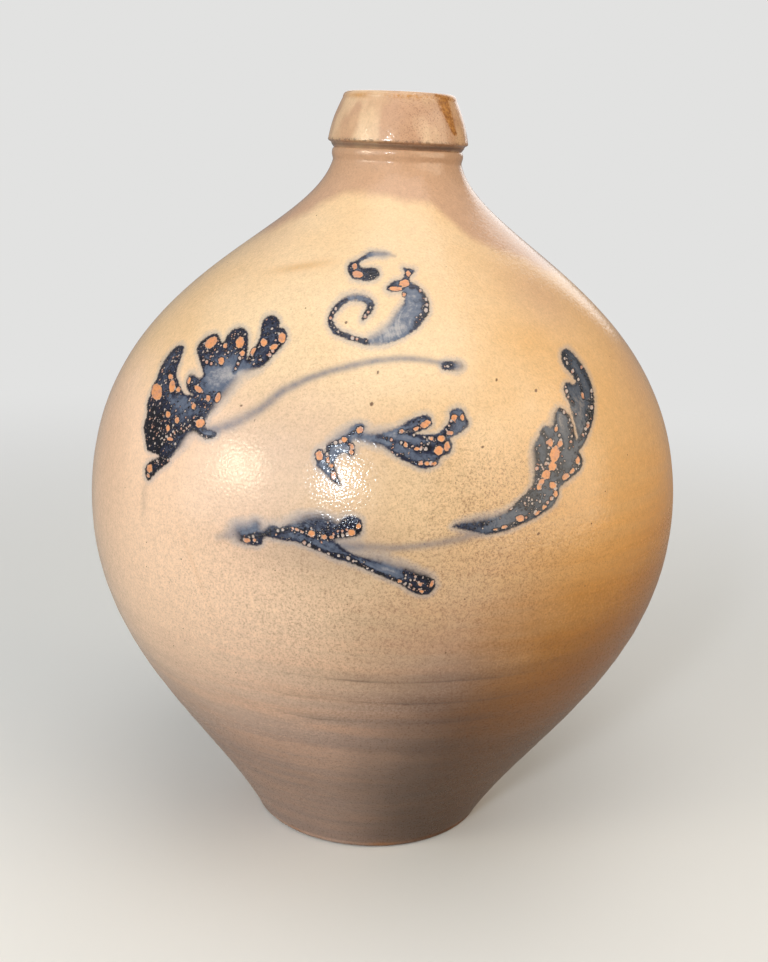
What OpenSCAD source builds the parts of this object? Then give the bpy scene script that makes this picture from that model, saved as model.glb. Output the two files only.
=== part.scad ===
/* [Body] */
// Overall height, foot to lip
jug_h = 370; // [340:1:400]
// Diameter at the widest point
belly_d = 295; // [270:1:310]
// Height of the widest point
belly_h = 172; // [155:1:185]
// Diameter of the foot
foot_d = 122; // [105:1:140]
// Height of the foot's upright edge
foot_edge_h = 3; // [2:0.5:5]
// Rise of the wall where it leaves the foot, in degrees from the floor
foot_flare_deg = 60; // [54:1:68]
// Thickness of the thrown wall
wall_t = 9; // [7:0.5:11]
// Thickness of the floor
floor_t = 12; // [10:0.5:15]
// Radius that the potter's fingers leave between floor and wall
floor_fillet_r = 14; // [8:1:20]
// Heights of the rings that the fingers leave in the lower wall, as shares of the widest point's height
throwing_rings = [0.48, 0.6, 0.67, 0.74];
// Depth of those rings
throwing_depth = 0.35; // [0.1:0.05:0.6]
// Radius of the fingertip that leaves them
fingertip_r = 7; // [5:1:10]

/* [Seam of the two thrown sections] */
// Height of the seam on the outside
seam_h = 190; // [180:1:205]
// How much higher the bevelled seam is on the inside
seam_bevel_h = 5; // [2:0.5:8]

/* [Neck and collar] */
// Diameter of the neck under its ring
neck_d = 62; // [58:0.5:65]
// Lean of the neck's wall where it meets the ring, in degrees from upright
neck_lean_deg = 13; // [8:1:18]
// Height of the small ring turned under the collar
ring_h = 4.4; // [3:0.2:6]
// How far the ring stands out from the neck
ring_out = 0.9; // [0.5:0.1:1.4]
// Diameter at the collar's lower edge
collar_d = 68; // [66:0.5:76]
// Diameter of the collar at the lip
lip_d = 55; // [50:0.5:60]
// Height of the collar above its lower edge
collar_h = 22.5; // [18:0.5:28]
// Swell of the collar's side beyond a straight taper
collar_swell = 0.9; // [0.4:0.1:1.5]
// Height of the undercut below the collar's edge
undercut_h = 3.8; // [2.5:0.1:5]
// Radius of the rounded lip
lip_round_r = 3; // [1.5:0.5:4]
// Diameter of the mouth
mouth_d = 34; // [30:0.5:38]
// Height of the spigot that the collar is thrown on to
spigot_h = 12; // [8:0.5:15]
// Diameter of the spigot
spigot_d = 48; // [46:0.5:52]

/* [Handle] */
// Width of the strap at its middle
strap_w = 33; // [26:1:38]
// Thickness of the strap at its middle
strap_t = 12; // [9:0.5:14]
// Extra width at the ends, where the strap is pressed on
root_flare_w = 9; // [4:1:14]
// Extra thickness at the ends
root_flare_t = 5; // [3:0.5:8]
// Length of strap over which each end flares
root_flare_l = 14; // [8:1:20]
// Depth of the two flutes drawn by the fingers along the strap's outer face
flute_depth = 0.8; // [0.3:0.1:1.2]
// Distance of the upper end below the neck's ring
handle_drop = 8; // [4:1:14]
// Fall of the strap from its upper end to the middle of its lower end
handle_fall = 75; // [60:1:82]
// How far the strap's upper end starts inside the neck
neck_embed = 10; // [8:0.5:11]
// How far the strap's lower end runs inside the wall
root_embed = 6; // [4:0.5:7]
// Diameter of the thumb that pressed the lower end on
thumb_d = 22; // [18:1:26]
// Depth of the thumb's mark
thumb_depth = 2.2; // [1:0.2:3]

/* [Lining] */
// Thickness of the slip glaze inside
lining_t = 0.8; // [0.5:0.1:1.2]

/* [Hidden] */
$fn = 96;
// Steps along each curve
wall_steps = 26;
strap_steps = 44;
section_steps = 32;
// How far the wall keeps its first direction above the foot, and upright below and above the widest point
foot_pull_share = 0.41;
belly_low_pull_share = 0.41;
belly_high_pull_share = 0.645;
neck_pull_share = 0.24;
// How late the neck thickens along the shoulder
neck_thicken_power = 6;
// Rounding of the foot's arris, as a share of its upright edge
foot_round_share = 0.8;
collar_edge_r = 0.8;
collar_side_steps = 10;
round_steps = 8;
// Reach of the strap's curve: how far it leaves the neck and the shoulder before it turns
strap_out_share = 0.66;
strap_rise_share = 0.4;
strap_back_share = 0.48;
strap_fall_share = 0.72;
// Place of the thumb's mark along the strap
thumb_place_share = 0.9;
// Squareness of the strap's section
section_power = 2.5;
flutes = 2;
// Length past a surface that a cut runs
overrun = 1;

belly_r = belly_d / 2;
foot_r = foot_d / 2;
foot_round_r = foot_edge_h * foot_round_share;
neck_r = neck_d / 2;
mouth_r = mouth_d / 2;
spigot_r = spigot_d / 2;
collar_edge_z = jug_h - collar_h;
seat_z = collar_edge_z - undercut_h;
neck_z = seat_z - ring_h;
seat_r = neck_r;

// Point on a cubic curve
function bezier(p, t) =
    pow(1 - t, 3) * p[0] + 3 * pow(1 - t, 2) * t * p[1] + 3 * (1 - t) * pow(t, 2) * p[2] + pow(t, 3) * p[3];

// Direction of a cubic curve
function bezier_way(p, t) =
    pow(1 - t, 2) * (p[1] - p[0]) + 2 * (1 - t) * t * (p[2] - p[1]) + pow(t, 2) * (p[3] - p[2]);

// Point at a depth to the left of a curve's direction
function inward(p, t, depth) =
    let (way = bezier_way(p, t), long = norm(way))
    bezier(p, t) + depth * [-way[1], way[0]] / long;

// Outside of the wall from the foot to the widest point, and from there to the neck
lower_curve = [
    [foot_r, foot_edge_h],
    [foot_r, foot_edge_h] + foot_pull_share * belly_h * [cos(foot_flare_deg), sin(foot_flare_deg)],
    [belly_r, belly_h - belly_low_pull_share * belly_h],
    [belly_r, belly_h],
];
upper_rise = neck_z - belly_h;
upper_curve = [
    [belly_r, belly_h],
    [belly_r, belly_h + belly_high_pull_share * upper_rise],
    [neck_r, neck_z] + neck_pull_share * upper_rise * [sin(neck_lean_deg), -cos(neck_lean_deg)],
    [neck_r, neck_z],
];

// The wall thickens into the neck so that the mouth keeps its bore
neck_t = (neck_r - mouth_r) / cos(neck_lean_deg);
function upper_t(t) = wall_t + (neck_t - wall_t) * pow(t, neck_thicken_power);
function lining_at(t) = lining_t * (1 - pow(t, neck_thicken_power));
bore_z = neck_z - neck_t * sin(neck_lean_deg);

lower_outside = [for (i = [0:wall_steps]) bezier(lower_curve, i / wall_steps)];
upper_outside = [for (i = [0:wall_steps]) bezier(upper_curve, i / wall_steps)];
foot_edge = [for (i = [0:round_steps])
    let (a = 90 * i / round_steps)
    [foot_r - foot_round_r * (1 - sin(a)), foot_round_r * (1 - cos(a))]];

// First step of the wall that is clear above the floor's fillet
first_step = [for (i = [0:wall_steps])
    if (inward(lower_curve, i / wall_steps, wall_t)[1] > floor_t + floor_fillet_r) i][0];
// Inside of the lower wall at a depth, down to the floor's fillet
function lower_inside(depth) = [for (i = [first_step:wall_steps]) inward(lower_curve, i / wall_steps, depth)];
// Fillet from the floor to the first point of the wall
function floor_curve(depth) =
    let (wall_p = lower_inside(depth)[0], floor_z = floor_t + depth - wall_t)
    [for (i = [0:round_steps - 1])
        let (t = i / round_steps, edge = [wall_p[0] - floor_fillet_r / 2, floor_z])
        pow(1 - t, 2) * (edge - [floor_fillet_r, 0]) + 2 * (1 - t) * t * edge + pow(t, 2) * wall_p];
function upper_inside(skin) = [for (i = [0:wall_steps])
    let (t = i / wall_steps)
    inward(upper_curve, t, upper_t(t) + (skin ? lining_at(t) : 0))];

function backwards(list) = [for (i = [len(list) - 1:-1:0]) list[i]];

// Whole wall in half section, from the axis along the outside to the neck and back along the inside
wall_outside = concat([[0, 0]], foot_edge, lower_outside, [for (i = [1:wall_steps]) upper_outside[i]]);
wall_inside = concat([[0, floor_t]], floor_curve(wall_t), lower_inside(wall_t),
    [for (i = [1:wall_steps]) upper_inside(false)[i]]);

// Radius of the lower wall at a height, from the curve's steps
function lower_r(z) = lookup(z, [for (p = lower_outside) [p[1], p[0]]]);

// Half section of the thrown wall without the neck's top, with the fingers' rings pressed in
module wall_section() {
    difference() {
        polygon(concat(wall_outside, backwards(wall_inside)));
        for (share = throwing_rings)
            let (
                z = share * belly_h,
                lean = atan2(lower_r(z + 1) - lower_r(z - 1), 2),
                reach = fingertip_r - throwing_depth
            )
            translate([lower_r(z) + reach * cos(lean), z - reach * sin(lean)])
                circle(r = fingertip_r, $fn = 48);
    }
}

// Half plane under the bevelled seam
module below_seam() {
    far_r = belly_r + wall_t;
    slope = seam_bevel_h / wall_t;
    polygon([
        [0, -overrun],
        [far_r, -overrun],
        [far_r, seam_h - slope * (far_r - belly_r)],
        [0, seam_h + slope * belly_r],
    ]);
}

module lower_body() {
    color("#a98d70")
        rotate_extrude()
            intersection() {
                wall_section();
                below_seam();
            }
}

// Ring, groove and spigot above the neck's curve
module neck_top_section() {
    ring_r = ring_h / 2;
    polygon(concat(
        [[mouth_r, bore_z], [neck_r, neck_z]],
        [for (i = [1:round_steps - 1])
            let (a = 180 * i / round_steps)
            [neck_r + ring_out * sin(a), neck_z + ring_r * (1 - cos(a))]],
        [[seat_r, seat_z], [spigot_r, seat_z], [spigot_r, seat_z + spigot_h], [mouth_r, seat_z + spigot_h]]
    ));
}

module upper_body() {
    color("#d2b08a")
        rotate_extrude() {
            difference() {
                wall_section();
                below_seam();
            }
            neck_top_section();
        }
}

// Side of the collar: a taper with a slight swell
function collar_side(t) = [
    collar_d / 2 + (lip_d - collar_d) / 2 * t + collar_swell * sin(180 * t),
    collar_edge_z + (collar_h - lip_round_r) * t,
];

module neck_collar() {
    lip_r = lip_d / 2;
    lip_z = jug_h - lip_round_r;
    color("#cfa983")
        rotate_extrude()
            polygon(concat(
                [[spigot_r, seat_z], [seat_r, seat_z]],
                [[collar_d / 2 - collar_edge_r, collar_edge_z - collar_edge_r]],
                [for (i = [0:collar_side_steps]) collar_side(i / collar_side_steps)],
                [for (i = [1:round_steps])
                    let (a = 90 * i / round_steps)
                    [lip_r - lip_round_r * (1 - cos(a)), lip_z + lip_round_r * sin(a)]],
                [for (i = [round_steps:-1:0])
                    let (a = 90 * i / round_steps)
                    [mouth_r + lip_round_r * (1 - cos(a)), lip_z + lip_round_r * sin(a)]],
                [[mouth_r, seat_z + spigot_h], [spigot_r, seat_z + spigot_h]]
            ));
}

// The outside of the jug as a solid, to trim the strap's ends
module jug_solid() {
    rotate_extrude() {
        polygon(concat(wall_outside, [[0, neck_z]]));
        polygon([[0, bore_z], [neck_r, neck_z], [seat_r, seat_z], [0, seat_z]]);
    }
}

// Radius of the shoulder at a height, from the curve's steps
function shoulder_r(z) = lookup(z, [for (p = upper_outside) [p[1], p[0]]]);

handle_top_z = neck_z - handle_drop;
handle_foot_z = handle_top_z - handle_fall;
handle_run = shoulder_r(handle_foot_z) - neck_r;
strap_curve = [
    [shoulder_r(handle_top_z) - neck_embed, handle_top_z],
    [neck_r + strap_out_share * handle_run, handle_top_z + strap_rise_share * handle_fall],
    [shoulder_r(handle_foot_z) + strap_back_share * handle_run, handle_foot_z + strap_fall_share * handle_fall],
    [shoulder_r(handle_foot_z) - root_embed, handle_foot_z],
];
function length_to(i) = i == 0 ? 0 : length_to(i - 1)
    + norm(bezier(strap_curve, i / strap_steps) - bezier(strap_curve, (i - 1) / strap_steps));
strap_length = length_to(strap_steps);

// Flare near both ends of the strap, 1 where it enters the wall and 0 away from there
function flare(t) =
    let (from_wall = min(t * strap_length - neck_embed, (1 - t) * strap_length - root_embed))
    exp(-pow(max(from_wall, 0) / root_flare_l, 2));

// Point of the strap's section, across its width and through its thickness
function section_point(t, a) =
    let (
        half_w = (strap_w + root_flare_w * flare(t)) / 2,
        half_t = (strap_t + root_flare_t * flare(t)) / 2,
        across = sign(cos(a)) * pow(abs(cos(a)), 2 / section_power),
        through = sign(sin(a)) * pow(abs(sin(a)), 2 / section_power),
        flute = sin(a) > 0 ? flute_depth * (1 - flare(t)) * pow(sin(180 * flutes * (across + 1) / 2), 2) : 0
    )
    [half_w * across, half_t * through - flute];

// Ring of points of the strap at one place along it
function strap_ring(t) =
    let (
        at = bezier(strap_curve, t),
        way = bezier_way(strap_curve, t),
        out = [-way[1], way[0]] / norm(way)
    )
    [for (j = [0:section_steps - 1])
        let (s = section_point(t, 360 * j / section_steps))
        [s[0], at[0] + s[1] * out[0], at[1] + s[1] * out[1]]];

// Ball of the thumb, pressed into the strap's outer face
module thumb() {
    at = bezier(strap_curve, thumb_place_share);
    way = bezier_way(strap_curve, thumb_place_share);
    out = [-way[1], way[0]] / norm(way);
    face = section_point(thumb_place_share, 90)[1];
    centre = at + (face - thumb_depth + thumb_d / 2) * out;
    translate([0, centre[0], centre[1]])
        sphere(d = thumb_d);
}

module strap_handle() {
    points = [for (i = [0:strap_steps]) each strap_ring(i / strap_steps)];
    sides = [for (i = [0:strap_steps - 1], j = [0:section_steps - 1])
        let (
            k = (j + 1) % section_steps,
            low = i * section_steps,
            high = low + section_steps
        )
        each [[low + j, low + k, high + k], [low + j, high + k, high + j]]];
    first_cap = [for (j = [section_steps - 1:-1:0]) j];
    last_cap = [for (j = [0:section_steps - 1]) strap_steps * section_steps + j];
    color("#bf9a73")
        difference() {
            polyhedron(points, concat(sides, [first_cap, last_cap]));
            jug_solid();
            thumb();
        }
}

module slip_lining() {
    lining_outside = wall_inside;
    depth = wall_t + lining_t;
    lining_inside = concat([[0, floor_t + lining_t]], floor_curve(depth), lower_inside(depth),
        [for (i = [1:wall_steps - 1]) upper_inside(true)[i]]);
    color("#4a2e1c")
        rotate_extrude()
            polygon(concat(lining_outside, backwards(lining_inside)));
}

lower_body();
upper_body();
neck_collar();
strap_handle();
slip_lining();
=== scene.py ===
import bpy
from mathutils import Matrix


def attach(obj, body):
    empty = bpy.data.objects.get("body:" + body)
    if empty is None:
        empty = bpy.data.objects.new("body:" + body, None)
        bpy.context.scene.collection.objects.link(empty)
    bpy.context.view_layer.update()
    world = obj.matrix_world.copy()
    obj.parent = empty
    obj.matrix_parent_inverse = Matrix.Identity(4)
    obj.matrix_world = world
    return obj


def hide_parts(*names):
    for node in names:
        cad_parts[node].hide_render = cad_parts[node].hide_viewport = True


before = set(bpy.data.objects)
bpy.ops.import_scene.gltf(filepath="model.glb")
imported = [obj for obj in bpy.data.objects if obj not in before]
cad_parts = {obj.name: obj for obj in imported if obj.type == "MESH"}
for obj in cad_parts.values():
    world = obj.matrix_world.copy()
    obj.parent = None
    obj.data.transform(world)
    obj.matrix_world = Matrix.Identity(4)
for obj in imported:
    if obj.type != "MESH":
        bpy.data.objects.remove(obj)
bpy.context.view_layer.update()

import math
from typing import NamedTuple

import bpy
import numpy as np
from mathutils import Matrix, Vector

MM = 0.001

# Camera: a good half metre in front of the jug and a little below its lip, looking down at the belly.
# It is held in the hand, so it leans a little.
CAMERA_BACK = 627
CAMERA_HEIGHT = 343.8
CAMERA_PITCH = 14.86
CAMERA_YAW = 0.05
CAMERA_ROLL = 2.56
CAMERA_LENS = 46.78
SENSOR_HEIGHT = 36

camera_data = bpy.data.cameras.new("camera")
camera_data.sensor_fit = "VERTICAL"
camera_data.sensor_height = SENSOR_HEIGHT
camera_data.lens = CAMERA_LENS
camera_data.clip_start = 10 * MM
camera = bpy.data.objects.new("camera", camera_data)
camera.matrix_world = (
    Matrix.Translation((0, -CAMERA_BACK * MM, CAMERA_HEIGHT * MM))
    @ Matrix.Rotation(math.radians(-CAMERA_YAW), 4, "Z")
    @ Matrix.Rotation(math.radians(90 - CAMERA_PITCH), 4, "X")
    @ Matrix.Rotation(math.radians(CAMERA_ROLL), 4, "Z")
)
bpy.context.scene.collection.objects.link(camera)
bpy.context.scene.camera = camera


# Lower wall: the first thrown section, a thick open bowl of grey-buff clay from the foot to the
# seam above the belly. It was drawn up between the fingers, which left level rings in it, then
# salt-glazed in the kiln. Its lower half is painted a duller taupe than the shoulder, partly the
# glaze's own tone and partly painted shade, which is deepest at the lower right.
JUG_H = 370
BELLY_R = 147.5
BELLY_H = 172
FOOT_R = 61
FOOT_EDGE_H = 3
FOOT_ROUND_R = 4.6
FOOT_ROUND_H = 2.9
FOOT_FLARE_DEG = 60
FOOT_PULL = 70.52
BELLY_LOW_PULL = 70.52
WALL_T = 9
FLOOR_T = 12
FLOOR_FILLET_R = 14
SEAM_H = 190
SEAM_SLOPE = 5 / 9
NECK_R = 31
NECK_H = 339.3
NECK_LEAN_DEG = 13
BELLY_HIGH_PULL = 107.9
NECK_PULL = 40.15
MOUTH_R = 17
NECK_T = (NECK_R - MOUTH_R) / math.cos(math.radians(NECK_LEAN_DEG))
NECK_THICKEN_POWER = 6
# Heights of the rings that the fingers left, each with its depth and half its width
THROWING_RINGS = [(82.7, 0.05, 2.2), (102.6, 0.035, 2.0), (114.8, 0.03, 2.0), (126.7, 0.035, 2.0)]
# The fainter ripple between them, which fades towards the foot and towards the belly
RIPPLE_LENGTHS = (8.7, 13.9, 21.7)
RIPPLE_DEPTH = 0.2
RIPPLE_FROM = 8
RIPPLE_FADE_IN = 20
RIPPLE_TO = 165
RIPPLE_FADE_OUT = 30
# Heights that are painted or ringed, and the steps of the mesh up the wall
PAINTED_HEIGHTS = (164, 304)
PAINTED_STEP = 0.85
RINGED_HEIGHTS = (60, 134)
RINGED_STEP = 1.0
PLAIN_STEP = 1.9
INSIDE_STEP = 9.0
UNDERSIDE_RADII = (0, 25, 50)
FOOT_STEPS = 8
FILLET_STEPS = 6

lower_curve = np.array([
    (FOOT_R, FOOT_EDGE_H),
    (
        FOOT_R + FOOT_PULL * math.cos(math.radians(FOOT_FLARE_DEG)),
        FOOT_EDGE_H + FOOT_PULL * math.sin(math.radians(FOOT_FLARE_DEG)),
    ),
    (BELLY_R, BELLY_H - BELLY_LOW_PULL),
    (BELLY_R, BELLY_H),
])
upper_curve = np.array([
    (BELLY_R, BELLY_H),
    (BELLY_R, BELLY_H + BELLY_HIGH_PULL),
    (
        NECK_R + NECK_PULL * math.sin(math.radians(NECK_LEAN_DEG)),
        NECK_H - NECK_PULL * math.cos(math.radians(NECK_LEAN_DEG)),
    ),
    (NECK_R, NECK_H),
])


def on_curve(curve, t):
    """Points of a cubic curve, one for each share along it."""
    t = np.atleast_1d(t)[:, None]
    start, pull, end_pull, end = curve
    return (1 - t) ** 3 * start + 3 * (1 - t) ** 2 * t * pull + 3 * (1 - t) * t**2 * end_pull + t**3 * end


def inside_curve(curve, t, depth):
    """The same points moved into the wall by a depth."""
    s = np.atleast_1d(t)[:, None]
    start_way, middle_way, end_way = curve[1:] - curve[:-1]
    way = (1 - s) ** 2 * start_way + 2 * (1 - s) * s * middle_way + s**2 * end_way
    normal = np.column_stack((-way[:, 1], way[:, 0])) / np.hypot(way[:, 0], way[:, 1])[:, None]
    return on_curve(curve, t) + np.reshape(depth, (-1, 1)) * normal


def shares(curve, spacing, start=0.0, end=1.0):
    """Shares along a curve whose points lie as far apart as spacing(height) says."""
    fine = np.linspace(start, end, 4001)
    points = on_curve(curve, fine)
    middle = (points[1:, 1] + points[:-1, 1]) / 2
    steps = np.hypot(*(points[1:] - points[:-1]).T) / spacing(middle)
    passed = np.concatenate(([0], np.cumsum(steps)))
    count = max(math.ceil(passed[-1]), 2)
    return np.interp(np.linspace(0, passed[-1], count + 1), passed, fine)


def seam_share(depth=0.0):
    """Share along the upper curve at which the bevelled seam comes out, at a depth in the wall."""
    low, high = 0.0, 0.5
    for _ in range(50):
        middle = (low + high) / 2
        r, z = inside_curve(upper_curve, middle, depth)[0]
        if z + SEAM_SLOPE * (r - BELLY_R) < SEAM_H:
            low = middle
        else:
            high = middle
    return low


def outside_spacing(height):
    """Fine steps where the wall is painted or ringed, wide ones elsewhere."""
    painted = (height > PAINTED_HEIGHTS[0]) & (height < PAINTED_HEIGHTS[1])
    ringed = (height > RINGED_HEIGHTS[0]) & (height < RINGED_HEIGHTS[1])
    return np.where(painted, PAINTED_STEP, np.where(ringed, RINGED_STEP, PLAIN_STEP))


def inside_spacing(height):
    """Wide steps all the way."""
    return np.full(np.shape(height), INSIDE_STEP)


def arc(centre_r, centre_z, radius_r, radius_z, start_deg, end_deg, steps):
    """Points along an arc of the section."""
    turn = np.radians(np.linspace(start_deg, end_deg, steps + 1))
    return np.column_stack((centre_r + radius_r * np.cos(turn), centre_z + radius_z * np.sin(turn)))


lower_outside = on_curve(lower_curve, shares(lower_curve, outside_spacing))
lower_above = on_curve(upper_curve, shares(upper_curve, outside_spacing, 0, seam_share()))
lower_outside = np.vstack((lower_outside, lower_above[1:]))
for ring_h, ring_depth, ring_w in THROWING_RINGS:
    lower_outside[:, 0] -= ring_depth * np.exp(-(((lower_outside[:, 1] - ring_h) / ring_w) ** 2))
heights = lower_outside[:, 1]
ripple = sum(np.sin(2 * math.pi * heights / length + length) for length in RIPPLE_LENGTHS)
ripple_fade = np.clip((heights - RIPPLE_FROM) / RIPPLE_FADE_IN, 0, 1)
ripple_fade *= np.clip((RIPPLE_TO - heights) / RIPPLE_FADE_OUT, 0, 1)
lower_outside[:, 0] -= RIPPLE_DEPTH * ripple_fade * (1 + ripple / len(RIPPLE_LENGTHS)) / 2

inside_above = inside_curve(upper_curve, shares(upper_curve, inside_spacing, 0, seam_share(WALL_T)), WALL_T)
inside_below = inside_curve(lower_curve, shares(lower_curve, inside_spacing), WALL_T)
inside_below = inside_below[inside_below[:, 1] > FLOOR_T + FLOOR_FILLET_R]
fillet_top = inside_below[0]
fillet_edge = np.array((fillet_top[0] - FLOOR_FILLET_R / 2, FLOOR_T))
fillet_share = np.linspace(0, 1, FILLET_STEPS + 1)[:-1, None]
fillet = (
    (1 - fillet_share) ** 2 * (fillet_edge - (FLOOR_FILLET_R, 0))
    + 2 * (1 - fillet_share) * fillet_share * fillet_edge
    + fillet_share**2 * fillet_top
)
lower_section = np.vstack((
    [(r, 0) for r in UNDERSIDE_RADII],
    arc(FOOT_R - FOOT_ROUND_R, FOOT_ROUND_H, FOOT_ROUND_R, FOOT_ROUND_H, -90, 0, FOOT_STEPS),
    lower_outside,
    inside_above[::-1],
    inside_below[-2::-1],
    fillet[::-1],
    [(0, FLOOR_T)],
))


class Wire:
    """A value that runs through a node tree and can be reckoned with."""

    def __init__(self, tree, socket):
        self.tree = tree
        self.socket = socket

    def output(self, name):
        """Another output of the node that this value comes from."""
        return Wire(self.tree, self.socket.node.outputs[name])

    def math(self, operation, *others):
        """This value taken through one step of arithmetic."""
        inputs = dict(enumerate((self, *others)))
        return add_node(self.tree, "ShaderNodeMath", inputs, operation=operation)

    def __add__(self, other):
        return self.math("ADD", other)

    def __sub__(self, other):
        return self.math("SUBTRACT", other)

    def __mul__(self, other):
        return self.math("MULTIPLY", other)

    def __truediv__(self, other):
        return self.math("DIVIDE", other)

    def __neg__(self):
        return self.math("MULTIPLY", -1.0)

    def at_most(self, other):
        """The lower of two values."""
        return self.math("MINIMUM", other)

    def at_least(self, other):
        """The higher of two values."""
        return self.math("MAXIMUM", other)

    def rise(self, start, end):
        """0 before start and 1 past end, with a smooth change between them. The end may be the lower one."""
        return add_node(
            self.tree, "ShaderNodeMapRange", {"Value": self, "From Min": start, "From Max": end},
            interpolation_type="SMOOTHSTEP",
        )

    def hump(self, centre, half_width):
        """1 at a value and 0 well away from it."""
        away = (self - centre) / half_width
        return (away * away * -1.0).math("EXPONENT")


def add_node(tree, kind, inputs=None, **settings):
    """New node with its settings and its inputs: numbers, colours or wires. Gives its first output."""
    node = tree.nodes.new(kind)
    for name, value in settings.items():
        setattr(node, name, value)
    for name, value in (inputs or {}).items():
        if isinstance(value, Wire):
            tree.links.new(value.socket, node.inputs[name])
        else:
            node.inputs[name].default_value = value
    return Wire(tree, node.outputs[0])


def form_tree(name, inputs):
    """Empty tree for a form with its named inputs, and a function that gives the wire of each."""
    tree = bpy.data.node_groups.new(name, "GeometryNodeTree")
    tree.interface.new_socket("Form", in_out="OUTPUT", socket_type="NodeSocketGeometry")
    for label, kind in inputs:
        tree.interface.new_socket(label, in_out="INPUT", socket_type="NodeSocket" + kind)
    given = tree.nodes.new("NodeGroupInput")
    return tree, lambda label: Wire(tree, given.outputs[label])


def grid_of(tree, rows, columns):
    """Grid with each point's share across its rows and its share along its columns."""
    grid = add_node(tree, "GeometryNodeMeshGrid", {
        "Size X": 1.0, "Size Y": 1.0, "Vertices X": rows, "Vertices Y": columns,
    })
    here = add_node(tree, "ShaderNodeSeparateXYZ", {0: add_node(tree, "GeometryNodeInputPosition")})
    return grid, here.output("X") + 0.5, here.output("Y") + 0.5


MERGE_WITHIN = 0.002


def end_form(tree, grid, place, finish, inside_out=False):
    """Moves the grid's points to their places, closes the form and gives it its finish."""
    form = add_node(tree, "GeometryNodeSetPosition", {"Geometry": grid, "Position": place})
    form = add_node(tree, "GeometryNodeMergeByDistance", {"Geometry": form, "Distance": MERGE_WITHIN * MM})
    if inside_out:
        form = add_node(tree, "GeometryNodeFlipFaces", {"Mesh": form})
    form = add_node(tree, "GeometryNodeSetShadeSmooth", {"Geometry": form})
    form = add_node(tree, "GeometryNodeRealizeInstances", {"Geometry": form})
    form = add_node(tree, "GeometryNodeSetMaterial", {"Geometry": form, "Material": finish})
    result = tree.nodes.new("NodeGroupOutput")
    tree.links.new(form.socket, result.inputs["Form"])


def thrown_tree():
    """Tree that turns a half section into a thrown form, with narrow columns where it is painted."""
    tree, wanted = form_tree("thrown form", (
        ("Section", "Geometry"),
        ("Front columns", "Int"),
        ("Back columns", "Int"),
        ("Front start", "Float"),
        ("Front end", "Float"),
        ("Wobble", "Float"),
        ("Wobble seed", "Float"),
        ("Lean", "Float"),
        ("Lean height", "Float"),
        ("Finish", "Material"),
    ))
    section = wanted("Section")
    rows = add_node(tree, "GeometryNodeAttributeDomainSize", {"Geometry": section}).output("Point Count")
    columns = wanted("Front columns") + wanted("Back columns") + 1.0
    grid, up, round_about = grid_of(tree, rows, columns)
    row = (up * (rows - 1.0)).math("ROUND")
    column = (round_about * (columns - 1.0)).math("ROUND")
    front = wanted("Front end") - wanted("Front start")
    in_front = column.at_most(wanted("Front columns")) / wanted("Front columns")
    behind = (column - wanted("Front columns")).at_least(0.0) / wanted("Back columns")
    angle = wanted("Front start") + front * in_front + (-front + 2 * math.pi) * behind
    sample = add_node(
        tree, "GeometryNodeSampleIndex",
        {"Geometry": section, "Value": add_node(tree, "GeometryNodeInputPosition"), "Index": row},
        data_type="FLOAT_VECTOR",
    )
    on_section = add_node(tree, "ShaderNodeSeparateXYZ", {0: sample})
    radius = on_section.output("X")
    height = on_section.output("Z")
    true_place = add_node(tree, "ShaderNodeCombineXYZ", {
        "X": radius * angle.math("COSINE"), "Y": radius * angle.math("SINE"), "Z": height,
    })
    unevenness = add_node(
        tree, "ShaderNodeTexNoise",
        {"Vector": true_place, "W": wanted("Wobble seed"), "Scale": WOBBLE_SCALE, "Detail": 1.0},
        noise_dimensions="4D",
    )
    pressed = wanted("Wobble") * unevenness.at_most(WOBBLE_MOST) * (radius / (BELLY_R * MM))
    left = radius - pressed
    below = (wanted("Lean height") - height).at_least(0.0) / wanted("Lean height")
    place = add_node(tree, "ShaderNodeCombineXYZ", {
        "X": left * angle.math("COSINE") + wanted("Lean") * below,
        "Y": left * angle.math("SINE"),
        "Z": height,
    })
    end_form(tree, grid, place, wanted("Finish"), inside_out=True)
    return tree


def grown(name, source, tree, values):
    """Runs a tree on a mesh and returns the result as a plain object in the scene."""
    piece = bpy.data.objects.new(name, source)
    bpy.context.scene.collection.objects.link(piece)
    growth = piece.modifiers.new("growth", "NODES")
    growth.node_group = tree
    sockets = {item.name: item.identifier for item in tree.interface.items_tree if item.in_out == "INPUT"}
    for label, value in values.items():
        growth[sockets[label]] = value
    seen = bpy.context.evaluated_depsgraph_get()
    mesh = bpy.data.meshes.new_from_object(piece.evaluated_get(seen), depsgraph=seen)
    piece.modifiers.remove(growth)
    piece.data = mesh
    mesh.name = name
    return piece


def section_mesh(name, points):
    """Half section in millimetres as a mesh of points in the XZ plane."""
    mesh = bpy.data.meshes.new(name)
    mesh.from_pydata([(r * MM, 0, z * MM) for r, z in points], [], [])
    return mesh


PAINTED_FROM_DEG = -143
PAINTED_TO_DEG = -41
PAINTED_COLUMNS = 292
PLAIN_COLUMNS = 64
SHARP_ABOVE_DEG = 35
WALL_SEED = 4.0
COLLAR_SEED = 9.0
WALL_LEAN = -1.0
# How far the hand's pressure leaves the wall out of true, and how many such places there are to a metre
WOBBLE = 0.5
WOBBLE_SCALE = 11.0
WOBBLE_MOST = 0.8
thrown_form = thrown_tree()


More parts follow.
